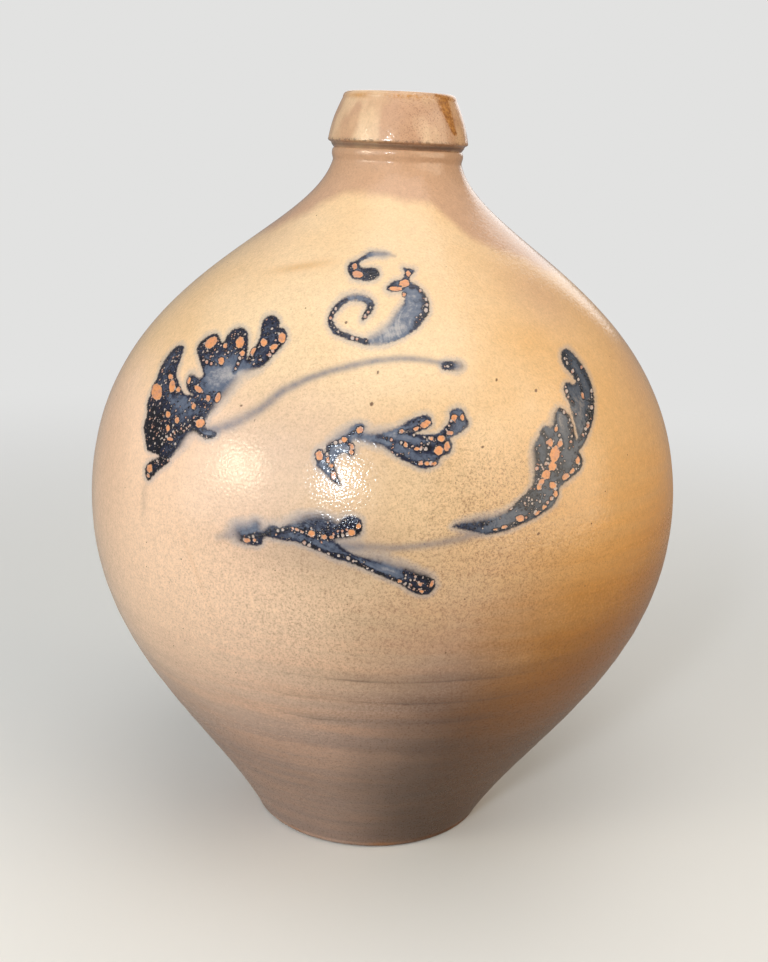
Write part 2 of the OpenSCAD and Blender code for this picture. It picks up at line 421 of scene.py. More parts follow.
def throw(name, section, finish, seed, lean=0.0):
    """A thrown piece from its half section, leaning by so many millimetres at its foot."""
    piece = grown(name, section_mesh(name + " section", section), thrown_form, {
        "Front columns": PAINTED_COLUMNS,
        "Back columns": PLAIN_COLUMNS,
        "Front start": math.radians(PAINTED_FROM_DEG),
        "Front end": math.radians(PAINTED_TO_DEG),
        "Wobble": WOBBLE * MM,
        "Wobble seed": seed,
        "Lean": lean * MM,
        "Lean height": BELLY_H * MM,
        "Finish": finish,
    })
    piece.data.set_sharp_from_angle(angle=math.radians(SHARP_ABOVE_DEG))
    return piece


# Brushwork is given as it is seen square on from the front: millimetres across and up
def flowing(points, closed=False, steps=6):
    """A smooth line through the points."""
    points = np.array(points, float)
    if closed:
        points = np.vstack((points[-1:], points, points[:2]))
    else:
        points = np.vstack((2 * points[:1] - points[1:2], points, 2 * points[-1:] - points[-2:-1]))
    before, start, end, after = points[:-3], points[1:-2], points[2:-1], points[3:]
    pieces = []
    for t in np.arange(steps) / steps:
        pieces.append(
            0.5 * (2 * start + (end - before) * t + (2 * before - 5 * start + 4 * end - after) * t**2
                   + (3 * start - before - 3 * end + after) * t**3)
        )
    line = np.stack(pieces, 1).reshape(-1, points.shape[1])
    return line if closed else np.vstack((line, end[-1:]))


def from_line(seen, line):
    """For each point seen: distance to a line, how far along it that is, and the line's width there."""
    best = np.full(len(seen), np.inf)
    along = np.zeros(len(seen))
    width = np.zeros(len(seen))
    passed = 0.0
    for start, end in zip(line[:-1], line[1:]):
        way = end[:2] - start[:2]
        length = max(float(np.hypot(*way)), 1e-6)
        off = seen - start[:2]
        share = np.clip(off @ way / length**2, 0, 1)
        gap = np.hypot(off[:, 0] - share * way[0], off[:, 1] - share * way[1])
        nearer = gap < best
        best[nearer] = gap[nearer]
        along[nearer] = passed + share[nearer] * length
        if len(start) > 2:
            width[nearer] = start[2] + (end[2] - start[2]) * share[nearer]
        passed += length
    return best, along, width


def within(seen, outline):
    """Whether each point seen lies inside a closed outline."""
    inside = np.zeros(len(seen), bool)
    for (x0, z0), (x1, z1) in zip(outline, np.roll(outline, -1, 0)):
        if z0 != z1:
            crosses = (z0 > seen[:, 1]) != (z1 > seen[:, 1])
            inside ^= crosses & (seen[:, 0] < (x1 - x0) * (seen[:, 1] - z0) / (z1 - z0) + x0)
    return inside


def spot_share(seen, x, z, across, up, turn_deg=0.0):
    """Distance from an oval spot's middle, as a share of its half sizes."""
    turn = math.radians(turn_deg)
    right = (seen[:, 0] - x) * math.cos(turn) + (seen[:, 1] - z) * math.sin(turn)
    above = (seen[:, 1] - z) * math.cos(turn) - (seen[:, 0] - x) * math.sin(turn)
    return np.hypot(right / across, above / up)


def clouds(seen, spots):
    """Sum of soft oval spots, each given by its middle, half sizes, turn and strength."""
    total = np.zeros(len(seen))
    for *oval, amount in spots:
        total += amount * np.exp(-spot_share(seen, *oval) ** 2)
    return total


# What each mark of the slip says where there is none: far from an edge, a blister and a seam, and bare
FAR = 20.0
BARE = {"edge": -FAR, "load": 0.0, "blister": -FAR, "seam": FAR, "along": 0.0, "wash": 0.0, "soft": 0.0}
# How far round a stroke its edge is worked out
REACH = 16.0
# What is added to the way along a seam for each seam and stroke before it, so that no two bead alike
NEXT_SEAM = 100
NEXT_STROKE = 1000
SLIP_RELIEF = 0.12
SLIP_EDGE_FROM = -0.3
SLIP_EDGE_WIDTH = 1.8
PAINTED_SKIN = 3
KILN_MARKS_BEHIND = 30


class Stroke(NamedTuple):
    """A filled stroke of slip: its outline and load, deeper pools, soft edges, seams and blisters."""

    outline: list
    load: float
    pools: tuple = ()
    soft: tuple = ()
    seams: tuple = ()
    blisters: tuple = ()


def brush(marks, seen, number, stroke):
    """Adds one filled stroke of slip to the marks of the points seen."""
    outline = flowing(stroke.outline, closed=True)
    low, high = outline.min(0) - REACH, outline.max(0) + REACH
    near = np.flatnonzero(((seen > low) & (seen < high)).all(1))
    if not len(near):
        return
    spots = seen[near]
    gap = from_line(spots, np.vstack((outline, outline[:1])))[0]
    feather = 1 + clouds(spots, stroke.soft)
    edge = np.where(within(spots, outline), gap, -gap) / feather
    chosen = edge > marks["edge"][near]
    nearer = near[chosen]
    marks["load"][nearer] = (stroke.load + clouds(spots, stroke.pools))[chosen]
    marks["soft"][nearer] = (feather - 1)[chosen]
    marks["edge"][nearer] = edge[chosen]
    for oval in stroke.blisters:
        height = (1 - spot_share(spots, *oval)) * math.sqrt(oval[2] * oval[3])
        marks["blister"][near] = np.maximum(marks["blister"][near], height)
    for order, line in enumerate(stroke.seams):
        gap, along, _ = from_line(spots, flowing(line))
        chosen = gap < marks["seam"][near]
        marks["seam"][near[chosen]] = gap[chosen]
        marks["along"][near[chosen]] = along[chosen] + NEXT_SEAM * order + NEXT_STROKE * number


def vectors_of(mesh, name):
    """The place or the normal of each of the mesh's points."""
    values = np.empty(len(mesh.vertices) * 3)
    mesh.vertices.foreach_get(name, values)
    return values.reshape(-1, 3)


def write_mark(mesh, name, values):
    """Keeps a number for each of the mesh's points, for its finish to read."""
    mesh.attributes.new(name, "FLOAT", "POINT").data.foreach_set("value", values.astype(np.float32))


def paint(piece, strokes, stems):
    """Writes on the wall's points where the slip and the kiln's marks lie, and raises the slip."""
    mesh = piece.data
    place = vectors_of(mesh, "co") / MM
    section = np.vstack((lower_outside, on_curve(upper_curve, np.linspace(0.1, 1, 200))))
    depth = np.interp(place[:, 2], section[:, 1], section[:, 0]) - np.hypot(place[:, 0], place[:, 1])
    front = np.flatnonzero((depth < PAINTED_SKIN) & (place[:, 1] < 0))
    flat = place[:, (0, 2)]
    marks = {label: np.full(len(front), value) for label, value in BARE.items()}
    for number, stroke in enumerate(strokes):
        brush(marks, flat[front], number, stroke)
    for line, strength in stems:
        gap, _, width = from_line(flat[front], flowing(line))
        thin = strength * np.exp(-((gap / np.maximum(width, 0.1)) ** 2))
        marks["wash"] = np.maximum(marks["wash"], thin)
    for label, values in marks.items():
        whole = np.full(len(place), BARE[label])
        whole[front] = values
        write_mark(mesh, "slip_" + label, whole)
    write_mark(mesh, "kiln_line", place[:, 2] - np.interp(place[:, 0], *np.transpose(FLASH_LINE)))
    for label, spots in KILN_MARKS.items():
        write_mark(mesh, "kiln_" + label, np.where(place[:, 1] < KILN_MARKS_BEHIND, clouds(flat, spots), 0))
    raised = np.zeros(len(place))
    raised[front] = SLIP_RELIEF * np.clip((marks["edge"] - SLIP_EDGE_FROM) / SLIP_EDGE_WIDTH, 0, 1)
    place += vectors_of(mesh, "normal") * raised[:, None]
    mesh.vertices.foreach_set("co", (place * MM).ravel())
    mesh.update()


def srgb(red, green, blue):
    """A colour written from 0 to 255, as the linear value that a node takes."""
    shown = [value / 255 for value in (red, green, blue)]
    linear = [v / 12.92 if v <= 0.04045 else ((v + 0.055) / 1.055) ** 2.4 for v in shown]
    return (*linear, 1.0)


class Finish:
    """A material under way: its tree, the place on the piece, and the colour mixed so far."""

    def __init__(self, name):
        self.material = bpy.data.materials.new(name)
        self.material.use_nodes = True
        self.tree = self.material.node_tree
        self.tree.nodes.clear()
        self.shader = self.tree.nodes.new("ShaderNodeBsdfPrincipled")
        output = self.tree.nodes.new("ShaderNodeOutputMaterial")
        self.tree.links.new(self.shader.outputs[0], output.inputs["Surface"])
        self.place = add_node(self.tree, "ShaderNodeTexCoord").output("Object")
        axes = add_node(self.tree, "ShaderNodeSeparateXYZ", {0: self.place})
        self.x = axes.output("X") / MM
        self.y = axes.output("Y") / MM
        self.z = axes.output("Z") / MM
        self.colour = None
        self.drift = None
        self.grain = None

    def wander(self, reach):
        """A number of millimetres that drifts slowly over the piece, to and fro within a reach."""
        return (self.drift - 0.5) * reach

    def mark(self, name):
        """A number that the piece's mesh keeps for each of its points."""
        return add_node(self.tree, "ShaderNodeAttribute", attribute_name=name).output("Fac")

    def stretched(self, across, up):
        """The place with its sizes multiplied, so that noise there is drawn out."""
        scale = (across, across, up)
        return add_node(self.tree, "ShaderNodeMapping", {"Vector": self.place, "Scale": scale})

    def noise(self, size, detail=2.0, rough=0.5, where=None):
        """Cloudy noise from 0 to 1 whose clouds are about so many millimetres across."""
        return add_node(self.tree, "ShaderNodeTexNoise", {
            "Vector": where or self.place, "Scale": 1 / (size * MM), "Detail": detail, "Roughness": rough,
        })

    def cells(self, size):
        """Distance to the nearest of scattered points, in millimetres, and two random numbers for each."""
        inputs = {"Vector": self.place, "Scale": 1 / (size * MM)}
        nearest = add_node(self.tree, "ShaderNodeTexVoronoi", inputs)
        luck = add_node(self.tree, "ShaderNodeSeparateColor", {0: nearest.output("Color")})
        return nearest * size, luck.output("Red"), luck.output("Green")

    def mix(self, share, below, above):
        """A colour partly covered by another."""
        inputs = {0: share, 6: below, 7: above}
        return add_node(self.tree, "ShaderNodeMix", inputs, data_type="RGBA", clamp_factor=True).output(2)

    def tint(self, share, colour):
        """Lays a colour over what is there."""
        self.colour = self.mix(share, self.colour, colour)

    def shade(self, amount):
        """Multiplies the colour by a number."""
        inputs = {0: self.colour, "Scale": amount}
        self.colour = add_node(self.tree, "ShaderNodeVectorMath", inputs, operation="SCALE")

    def surface(self, height, depth, roughness):
        """Gives the shader its colour, its bump from a height in shares of a depth, and its roughness."""
        inputs = {"Height": height, "Distance": depth * MM, "Strength": 1.0}
        bump = add_node(self.tree, "ShaderNodeBump", inputs)
        for name, wire in (("Normal", bump), ("Base Color", self.colour), ("Roughness", roughness)):
            self.tree.links.new(wire.socket, self.shader.inputs[name])
        return self.material


BUFF = srgb(243, 211, 169)
# Straw goes on the right as painted warm light, and blush at the upper left is partly painted light
STRAW = srgb(230, 178, 112)
BLUSH = srgb(252, 214, 182)
FLASH = srgb(203, 160, 128)
TAUPE = srgb(198, 166, 150)
PINK_CLAY = srgb(214, 172, 146)
# Low on the wall amber is painted warm light, and dun, umber and golden are partly painted shade
AMBER = srgb(224, 155, 62)
DUN = srgb(112, 95, 88)
UMBER = srgb(98, 69, 50)
GOLDEN = srgb(138, 82, 8)
# Toast is partly painted shade right of the middle and under the belly
TOAST = srgb(128, 80, 34)
ASH = srgb(128, 111, 100)
RING_BROWN = srgb(92, 72, 62)
PEPPER = srgb(130, 66, 32)
IRON = srgb(92, 58, 34)
IRON_ORANGE = srgb(196, 132, 52)
RUST = srgb(150, 92, 30)
FOOT_ORANGE = srgb(158, 108, 70)
BARE_CLAY = srgb(186, 168, 142)
SLIP_PALE = srgb(148, 155, 166)
SLIP_BLUE = srgb(96, 105, 123)
SLIP_GREY = srgb(60, 62, 60)
SLIP_DARK = srgb(35, 39, 60)
SLIP_BLACK = srgb(14, 13, 22)
PEACH = srgb(237, 162, 106)
ROSE = srgb(206, 150, 126)
PALE_BLISTER = srgb(198, 180, 170)


def orange_peel(finish):
    """The pebbled skin of salt glaze: low bumps a millimetre or two apart, with fine pits between them."""
    pebble, _, _ = finish.cells(1.4)
    swell = finish.noise(4.0, 1.0)
    pits = finish.noise(0.6, 0.0)
    return swell - pebble.rise(0.38, 1.0) * 0.55, pebble.rise(0.25, 0.9) * pits.rise(0.55, 0.68)


def salt_glaze(name):
    """Finish begun with buff salt glaze, with straw painted over the right side as warm light. Gives it with
    its specks of iron.
    """
    finish = Finish(name)
    cloud = finish.noise(70, 2.0)
    finish.drift = finish.noise(28, 3.0, 0.6)
    finish.grain = finish.noise(1.1, 2.0, 0.75)
    finish.colour = finish.mix(cloud.rise(0.35, 0.7), BUFF, finish.mix(0.35, BUFF, STRAW))
    # Painted warm light: straw laid over the right side
    finish.tint((finish.x + finish.wander(60.0)).rise(-20.0, 130.0) * 0.9, STRAW)
    speckle, luck, _ = finish.cells(6.0)
    return finish, speckle.rise(0.45, 0.2) * (luck - 0.8).rise(0.0, 0.05)


def mottle(finish, pits, strength):
    """The glaze's grain: each bump a little paler than the pits round it."""
    broad = finish.noise(3.6, 2.0, 0.6)
    finish.shade((finish.grain + broad * 0.6 - pits * 0.2 - 0.75) * strength + 1.0)


def fire_colours(finish, bands):
    """Tones of the fired glaze: the flame's flash round the neck and a blush at the upper left that is
    partly painted light; below, taupe and dun that are partly painted shade, painted warm amber at the
    right and painted shade deepest at the lower right. Gives how low a place is.
    """
    x, z, wave = finish.x, finish.z, finish.wander(30.0)
    # Blush at the upper left: partly the glaze's own, partly painted light on the lit side
    finish.tint((wave - x).rise(-16.0, 64.0) * (z - wave).rise(262.0, 222.0) * 0.9, BLUSH)
    finish.tint(finish.mark("kiln_flash").at_most(1.0) * 0.9, FLASH)
    finish.tint((finish.mark("kiln_line") + finish.wander(9.0)).rise(-2.0, 3.5) * 0.9, FLASH)
    # Taupe and pink on the lower half: partly the glaze's own tone, partly painted shade
    low = (z - x * 0.45 + wave * 0.6 - (bands - 0.5) * 44.0).rise(190.0, 92.0)
    # Painted warm light: amber low on the right side
    painted_warm_right = (x + wave * 0.5).rise(26.0, 90.0)
    finish.tint(low * (painted_warm_right * -0.85 + 0.95), finish.mix(bands.rise(0.35, 0.65), TAUPE, PINK_CLAY))
    finish.tint(low * painted_warm_right * 0.85, AMBER)
    # Dun towards the foot: partly the glaze's own tone, partly painted shade
    finish.tint((z - wave * 0.6 - (bands - 0.5) * 30.0).rise(92.0, 48.0) * 0.4, DUN)
    # Painted shade at the lower right: umber and golden brown, darker still towards the foot
    painted_shade_low_right = (x + wave * 0.7).rise(-26.0, 46.0)
    painted_shade_low_right = painted_shade_low_right * (z - x * 0.3 - wave * 0.5 - (bands - 0.5) * 36.0).rise(168.0, 84.0)
    finish.tint(painted_shade_low_right * 0.93, finish.mix((x + wave * 0.4).rise(12.0, 76.0), UMBER, GOLDEN))
    finish.shade(painted_shade_low_right * (z - wave * 0.4).rise(116.0, 60.0) * -0.5 + 1.0)
    # Toast right of the middle and under the belly is partly painted shade
    for label, strength, colour in (("toast_and_shade", 0.8, TOAST), ("ash", 0.8, ASH)):
        finish.tint(finish.mark("kiln_" + label).at_most(1.0) * strength, colour)
    finish.tint(finish.mark("kiln_gold").at_most(1.0) * (finish.grain * 1.2), IRON_ORANGE)
    return low


def throwing_lines(finish):
    """A brown line in each of the rings that the fingers left, and painted shade above it."""
    ring_z = finish.z + finish.wander(3.0)
    fade = (finish.x + finish.wander(70.0)).rise(-52.0, -6.0)
    fade = fade * (finish.wander(30.0) - finish.x).rise(-92.0, -36.0) + 0.06
    broken = finish.noise(24, 1.0, where=finish.stretched(1.0, 3.0))
    fade = fade * (broken.rise(0.3, 0.7) * 0.6 + 0.4)
    for ring_h, _, _ in THROWING_RINGS:
        # The second, wider hump is painted shade above the ring
        line = ring_z.hump(ring_h, 0.55) * 0.45 + ring_z.hump(ring_h + 1.9, 2.4) * 0.22
        finish.tint(line * fade * (finish.grain * 0.6 + 0.7), RING_BROWN)


# The wire that cut the jug off the wheel was pulled to this place, so its lines are arcs round it.
# Their wave turns by so many radians to a millimetre.
WIRE_PULLED_TO = (96.0, -30.0)
WIRE_LINE_RATE = 2.4


def bare_foot(finish, striae):
    """Bare clay under the foot, with a rusty edge and the arcs of the wire that cut the jug off."""
    rust_edge = (finish.wander(10.0) + (striae - 0.5) * 6.0 - finish.z).rise(-5.0, -0.5)
    finish.tint(rust_edge * (finish.drift.rise(0.42, 0.62) * 0.6 + 0.15), FOOT_ORANGE)
    under = finish.z.rise(0.35, 0.1)
    finish.tint(under, finish.mix(finish.drift.rise(0.4, 0.62) * 0.5, BARE_CLAY, PINK_CLAY))
    pull_x = finish.x - WIRE_PULLED_TO[0]
    pull_y = finish.y - WIRE_PULLED_TO[1]
    from_pull = (pull_x * pull_x + pull_y * pull_y).math("SQRT")
    wire_lines = (from_pull * WIRE_LINE_RATE + finish.drift * 5.0).math("SINE") * under
    finish.shade(wire_lines * 0.05 + 1.0)
    return under, wire_lines


# Distance between the beads along a seam, and the depth that the peel is given in shares of
BEAD_PITCH = 2.1
PEEL_DEPTH = 0.066


def brushed_slip(finish, ragged, patchy):
    """Lays the thin wash and the strokes of slip. Gives how surely a place has slip, and the slip's depth."""
    soft = finish.mark("slip_soft").rise(0.1, 1.2)
    firm = soft * -0.75 + 1.0
    edge = finish.mark("slip_edge") + ragged * firm
    seam = finish.mark("slip_seam")
    finish.tint((edge + patchy * 2.0).rise(-2.8, -0.2) * 0.42, SLIP_PALE)
    thin = finish.grain * 0.6 + finish.drift * 0.5 + patchy * 0.8 + 0.3
    finish.tint(finish.mark("slip_wash") * thin, SLIP_BLUE)
    slip = edge.rise(soft * -0.5 - 0.5, soft * 0.6 + 0.4)
    rim = edge.rise(1.6, 0.2) * firm
    dragged = add_node(finish.tree, "ShaderNodeCombineXYZ", {
        "X": seam, "Y": finish.mark("slip_along") * 0.1, "Z": 0.0,
    })
    streak = add_node(finish.tree, "ShaderNodeTexNoise", {
        "Vector": dragged, "Scale": 0.9, "Detail": 3.0,
    }) - 0.5
    depth = finish.mark("slip_load") + rim * 0.24 + seam.rise(1.6, 0.3) * 0.3 + streak * 0.55 + patchy * 0.9
    colour = SLIP_PALE
    for start, end, deeper in ((0.0, 0.45, SLIP_BLUE), (0.45, 0.85, SLIP_DARK), (0.85, 1.25, SLIP_BLACK)):
        colour = finish.mix(depth.rise(start, end), colour, deeper)
    colour = finish.mix(finish.x.rise(20.0, 70.0) * 0.5, colour, SLIP_GREY)
    finish.tint(slip * (depth.rise(-0.1, 0.5) * 0.45 + 0.55), colour)
    return edge, slip, depth


def boiled_blisters(finish, ragged, patchy, edge, depth):
    """Bare dark-ringed spots where the slip boiled: the large ones, beads along seams, bubbles and fizz."""
    nowhere = 9.0
    load = finish.mark("slip_load")
    seam = finish.mark("slip_seam")
    way = finish.mark("slip_along") / BEAD_PITCH
    bead_number = way.math("FLOOR")
    luck = add_node(finish.tree, "ShaderNodeTexWhiteNoise", {"W": bead_number}, noise_dimensions="1D")
    luck = add_node(finish.tree, "ShaderNodeSeparateColor", {0: luck.output("Color")})
    bead_size = luck.output("Green")
    bead_off = (way - bead_number - 0.5 + (bead_size - 0.5) * 0.3) * BEAD_PITCH
    bead_away = (bead_off * bead_off + seam * seam).math("SQRT")
    bead = bead_size * 0.6 + 0.22 - bead_away + ragged * 0.5
    bead = bead - (luck.output("Red") - 0.28).rise(0.01, 0.0) * nowhere - edge.rise(0.3, -0.6) * nowhere
    bubble_away, bubble_luck, bubble_size = finish.cells(1.7)
    bubble = bubble_size * 0.5 + 0.12 - bubble_away + ragged * 0.3
    bubble = bubble - (bubble_luck - 0.3).rise(0.01, 0.0) * nowhere
    bubble = bubble - (load + patchy).rise(0.62, 0.42) * 3.0 - edge.rise(1.0, 0.2) * nowhere
    fizz_away, fizz_luck, fizz_size = finish.cells(1.15)
    fizz = fizz_size * 0.25 + 0.08 - fizz_away - (fizz_luck - 0.35).rise(0.01, 0.0) * nowhere
    crowded = depth + seam.rise(1.6, 0.3) * 0.2
    fizz = fizz - crowded.rise(0.8, 0.6) * 3.0 - edge.rise(0.7, 0.1) * nowhere
    large = finish.mark("slip_blister") + ragged * 0.8 + patchy * 0.9 - 0.12
    blister = large.at_least(bead).at_least(bubble).at_least(fizz)
    finish.tint(blister.rise(-0.55, -0.22) * 0.9, SLIP_BLACK)
    warm = finish.mix(patchy.rise(-0.22, 0.1), ROSE, PEACH)
    warm = finish.mix(finish.grain.rise(0.5, 0.68) * 0.35, warm, PEPPER)
    small = finish.mix(bubble_luck.rise(0.5, 1.0), PALE_BLISTER, ROSE)
    finish.tint(blister.rise(-0.12, 0.12) * 0.95, finish.mix(large.rise(-0.1, 0.3), small, warm))
    return blister.rise(-0.9, -0.2) * 0.5 - blister.rise(-0.2, 0.3) * 0.9


def painted_glaze():
    """Finish of the thrown walls: salt glaze over the clay, and cobalt slip brushed on the front."""
    finish, fleck = salt_glaze("salt glaze on the wall")
    peel, pits = orange_peel(finish)
    bands = finish.noise(12, 3.0, 0.6, where=finish.stretched(0.14, 1.6))
    striae = finish.noise(1.7, 3.0, 0.7, where=finish.stretched(0.035, 1.0))
    low = fire_colours(finish, bands)
    finish.shade((striae - 0.5) * (low * 0.3 + 0.03) + (bands - 0.5) * (low * 0.5) + 1.0)
    throwing_lines(finish)
    peppered = finish.mark("kiln_pepper").at_most(1.0)
    pepper = pits * 0.5 + finish.grain.rise(0.5, 0.36) * 0.5
    finish.tint(pepper * (peppered * 0.56 + 0.02), PEPPER)
    finish.tint(fleck, IRON)
    finish.tint(finish.mark("kiln_speck").rise(0.25, 0.6) * 0.85, IRON)
    under, wire_lines = bare_foot(finish, striae)
    mottle(finish, pits, peppered * 0.16 + 0.34)
    ragged = (finish.noise(1.2, 2.0, 0.6) - 0.5) * 1.5
    patchy = finish.noise(3.1, 3.0, 0.7) - 0.5
    edge, slip, depth = brushed_slip(finish, ragged, patchy)
    craters = boiled_blisters(finish, ragged, patchy, edge, depth)
    height = peel * (slip * -0.2 + 1.0) + slip * 1.5 + craters * 2.3 + wire_lines * 1.2
    roughness = finish.grain * 0.13 + 0.08 - slip * 0.02 + low * 0.14 + under * 0.5
    return finish.surface(height, PEEL_DEPTH, roughness)


# The lowest sprig: a leaf trodden out in short dabs, and one long stroke down to the right
bottom_sprig = Stroke(
    outline=[
        (-59.5, 190.5), (-55.5, 192), (-51.5, 194.5), (-49.5, 193.5), (-48.5, 191), (-45, 193.5),
        (-40.5, 193.5), (-36.5, 195.5), (-32.5, 198), (-29, 199.5), (-24.5, 200), (-20, 199),
        (-17.5, 197.5), (-16.5, 198.5), (-14.5, 200), (-11.5, 200.5), (-8.5, 199.5), (-7.5, 197),
        (-8.5, 193.5), (-12, 192), (-16.5, 191), (-20, 190), (-18, 189.5), (-11.5, 185.5), (-5, 184),
        (1.5, 183), (7.5, 181), (11.5, 180.5), (16.5, 178.5), (20.5, 177), (23, 174), (22.5, 171),
        (19.5, 169), (15.5, 169.5), (12.5, 171), (9, 173.5), (4, 175.5), (-2.5, 178), (-9, 180.5),
        (-14, 182), (-17.5, 182.5), (-22.5, 184.5), (-29, 186.5), (-35, 188), (-40.5, 188), (-46.5, 188.5),
        (-48, 187), (-49.5, 184.5), (-53, 184), (-57.5, 184.5), (-59, 187),
    ],
    load=0.62,
    pools=[
        (-54, 186, 5, 3, 0, 0.3), (-24, 194, 12, 4, 0, 0.15), (-12, 195, 5, 5, 0, 0.35),
        (18, 173, 7, 4, -30, 0.45), (-2, 182, 12, 2.5, -20, -0.35), (-56, 191, 6, 3, 0, -0.25),
        (-40, 192, 6, 4, 0, 0.1), (-6, 184, 8, 3, -20, 0.35),
    ],
    soft=[
        (-56, 192, 9, 4, 0, 2.0), (-30, 198, 13, 4, 0, 2.0), (4, 184, 18, 4, -20, 1.8),
        (-63, 186, 6, 5, 0, 2.0),
    ],
    seams=[
        [(-46.5, 189.5), (-41, 192), (-34, 193), (-29, 191.5), (-22.5, 191), (-15.5, 192.5), (-11, 194),
         (-8.5, 197)],
        [(-57.5, 185), (-55, 186.5), (-51.5, 188), (-48, 189)],
        [(-31, 188), (-25, 186), (-19.5, 184), (-14.5, 184), (-9, 181.5), (-3, 179), (3, 176.5), (9.5, 174),
         (15.5, 171)],
        [(11, 179.5), (15.5, 177), (20, 176), (22, 173.5)],
    ],
    blisters=[
        (-34, 193.3, 0.9, 0.9), (-32, 192.4, 1, 1), (-28, 192.1, 1.6, 1.4), (-22.8, 191.2, 1.5, 1.2),
        (-19.7, 191.2, 0.9, 0.9), (-11.8, 193.8, 1.8, 1.3), (-9.1, 196.5, 1.1, 1.1),
        (17.2, 173.6, 1.2, 0.9, 20), (17.8, 170.4, 1, 0.9), (21.8, 174, 0.9, 1.8, -20), (8.4, 174.9, 1, 1),
        (-55, 185.6, 1.6, 1.1), (-51.5, 186.2, 1, 0.9),
    ],
)
# Thin slip that the brush dragged out: points across and up with half the mark's width, then its strength
low_stem = (
    [
        (-18, 187.5, 2.6), (-5, 188.5, 1.8), (5, 188.5, 1.6), (15, 189.5, 1.6), (25, 191, 1.8),
        (36, 193.5, 2.2), (46, 197.5, 2),
    ],
    0.6,
)
left_tail = ([(-68, 184.5, 1.5), (-62, 187, 2.6), (-57, 189, 3)], 0.4)
# Lower edge of the flame's pinkish flash round the neck, across and up
FLASH_LINE = [
    (-150, 296), (-60, 303), (-44, 311), (-35, 317.5), (-24, 323), (0, 320.5), (16, 319.5), (20.5, 317),
    (26.5, 312), (34.5, 305.5), (49, 299.5), (58.5, 296.5), (71.5, 291.5), (150, 284),
]
# Marks on the front, of the kiln and partly painted shade: middle across and up, half sizes, turn and
# strength
KILN_MARKS = {
    "flash": [
        (66, 284, 22, 10, -32, 0.5), (-60, 305, 16, 9, 30, 0.3), (-90, 277, 26, 12, 42, 0.04),
        (-126, 215, 12, 34, 0, 0.35), (118, 250, 14, 26, 20, 0.4),
    ],
    # Toast right of the middle and under the belly is partly painted shade
    "toast_and_shade": [
        (54, 206, 34, 26, 0, 0.28), (20, 176, 56, 18, 0, 0.22), (62, 158, 26, 18, 0, 0.2),
        (56, 58, 30, 40, 0, 0.4), (4, 153, 22, 15, 0, 0.3),
    ],
    "ash": [
        (-92, 86, 30, 18, -45, 0.3), (-24, 186, 38, 14, 0, 0.5), (-18, 224, 46, 26, 0, 0.32),
        (-20, 156, 44, 26, 0, 0.14), (-128, 160, 12, 30, 0, 0.1), (-104, 192, 1.5, 8, 0, 0.3),
        (6, 96, 34, 30, 0, 0.26), (-52, 222, 30, 30, 0, 0.22),
    ],
    "gold": [(-40, 292, 13, 1.6, 12, 0.6), (-78, 168, 1, 16, 24, 0.25)],
    "pepper": [
        (42, 210, 32, 24, 0, 0.9), (-10, 160, 90, 34, 0, 0.7), (52, 176, 40, 24, 0, 0.4),
        (0, 100, 90, 40, 0, 0.4), (-30, 250, 50, 40, 0, 0.2),
    ],
    "speck": [
        (-18.5, 272.5, 0.7, 0.6, 0, 1), (-6, 243.3, 0.9, 0.8, 0, 1), (-4, 255, 0.6, 0.6, 0, 1),
        (62.8, 248.2, 0.8, 0.6, 0, 1), (40, 228, 0.7, 0.6, 0, 1), (45.5, 252.9, 0.6, 0.6, 0, 1),
        (65.5, 192.3, 0.8, 0.7, 0, 1), (-60.5, 238, 0.6, 0.6, 0, 1), (-54, 233, 0.5, 0.5, 0, 1),
    ],
}

wall_finish = painted_glaze()
lower_wall = throw("lower_wall", lower_section, wall_finish, WALL_SEED, WALL_LEAN)
paint(lower_wall, [bottom_sprig], [low_stem, left_tail])
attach(lower_wall, "root")
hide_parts("lower_body")


# Upper wall: the second thrown section, joined on at the seam and drawn in to the neck, with the small
# ring turned under the collar. The front carries the capacity mark, a 3 for three gallons, and
# leaf sprigs in cobalt slip, brushed on before the firing, which boiled it into dark-ringed blisters.
RING_H = 4.4
RING_OUT = 0.9
RING_FILL = 1.4
RING_GAP = 0.3
RING_STEPS = 9
RING_ROUND_STEPS = 8
SEAT_H = 343.7
SPIGOT_R = 24
SPIGOT_TOP_H = 355.7
SPIGOT_BORE_ROWS = (350, 343)

upper_outside = on_curve(upper_curve, shares(upper_curve, outside_spacing, seam_share(), 1))
upper_outside = upper_outside[upper_outside[:, 1] < NECK_H - RING_FILL - RING_GAP]
inside_shares = shares(upper_curve, inside_spacing, seam_share(WALL_T), 1)
thickness = WALL_T + (NECK_T - WALL_T) * inside_shares**NECK_THICKEN_POWER
neck_points = on_curve(upper_curve, np.linspace(0.5, 1, 200))
under_ring_r = np.interp(NECK_H - RING_FILL, neck_points[:, 1], neck_points[:, 0])
ring_rise = np.linspace(0, 1, RING_STEPS + 1)
ring_below = np.column_stack((
    under_ring_r * (1 - ring_rise) + NECK_R * ring_rise + RING_OUT * ring_rise**2 * (3 - 2 * ring_rise),
    NECK_H - RING_FILL + (RING_FILL + RING_H / 2) * ring_rise,
))
upper_section = np.vstack((
    upper_outside,
    ring_below,
    arc(NECK_R, NECK_H + RING_H / 2, RING_OUT, RING_H / 2, 0, 90, RING_ROUND_STEPS)[1:],
    [(SPIGOT_R, SEAT_H), (SPIGOT_R, SPIGOT_TOP_H), (MOUTH_R, SPIGOT_TOP_H)],
    [(MOUTH_R, height) for height in SPIGOT_BORE_ROWS],
    inside_curve(upper_curve, inside_shares, thickness)[::-1],
    upper_outside[:1],
))

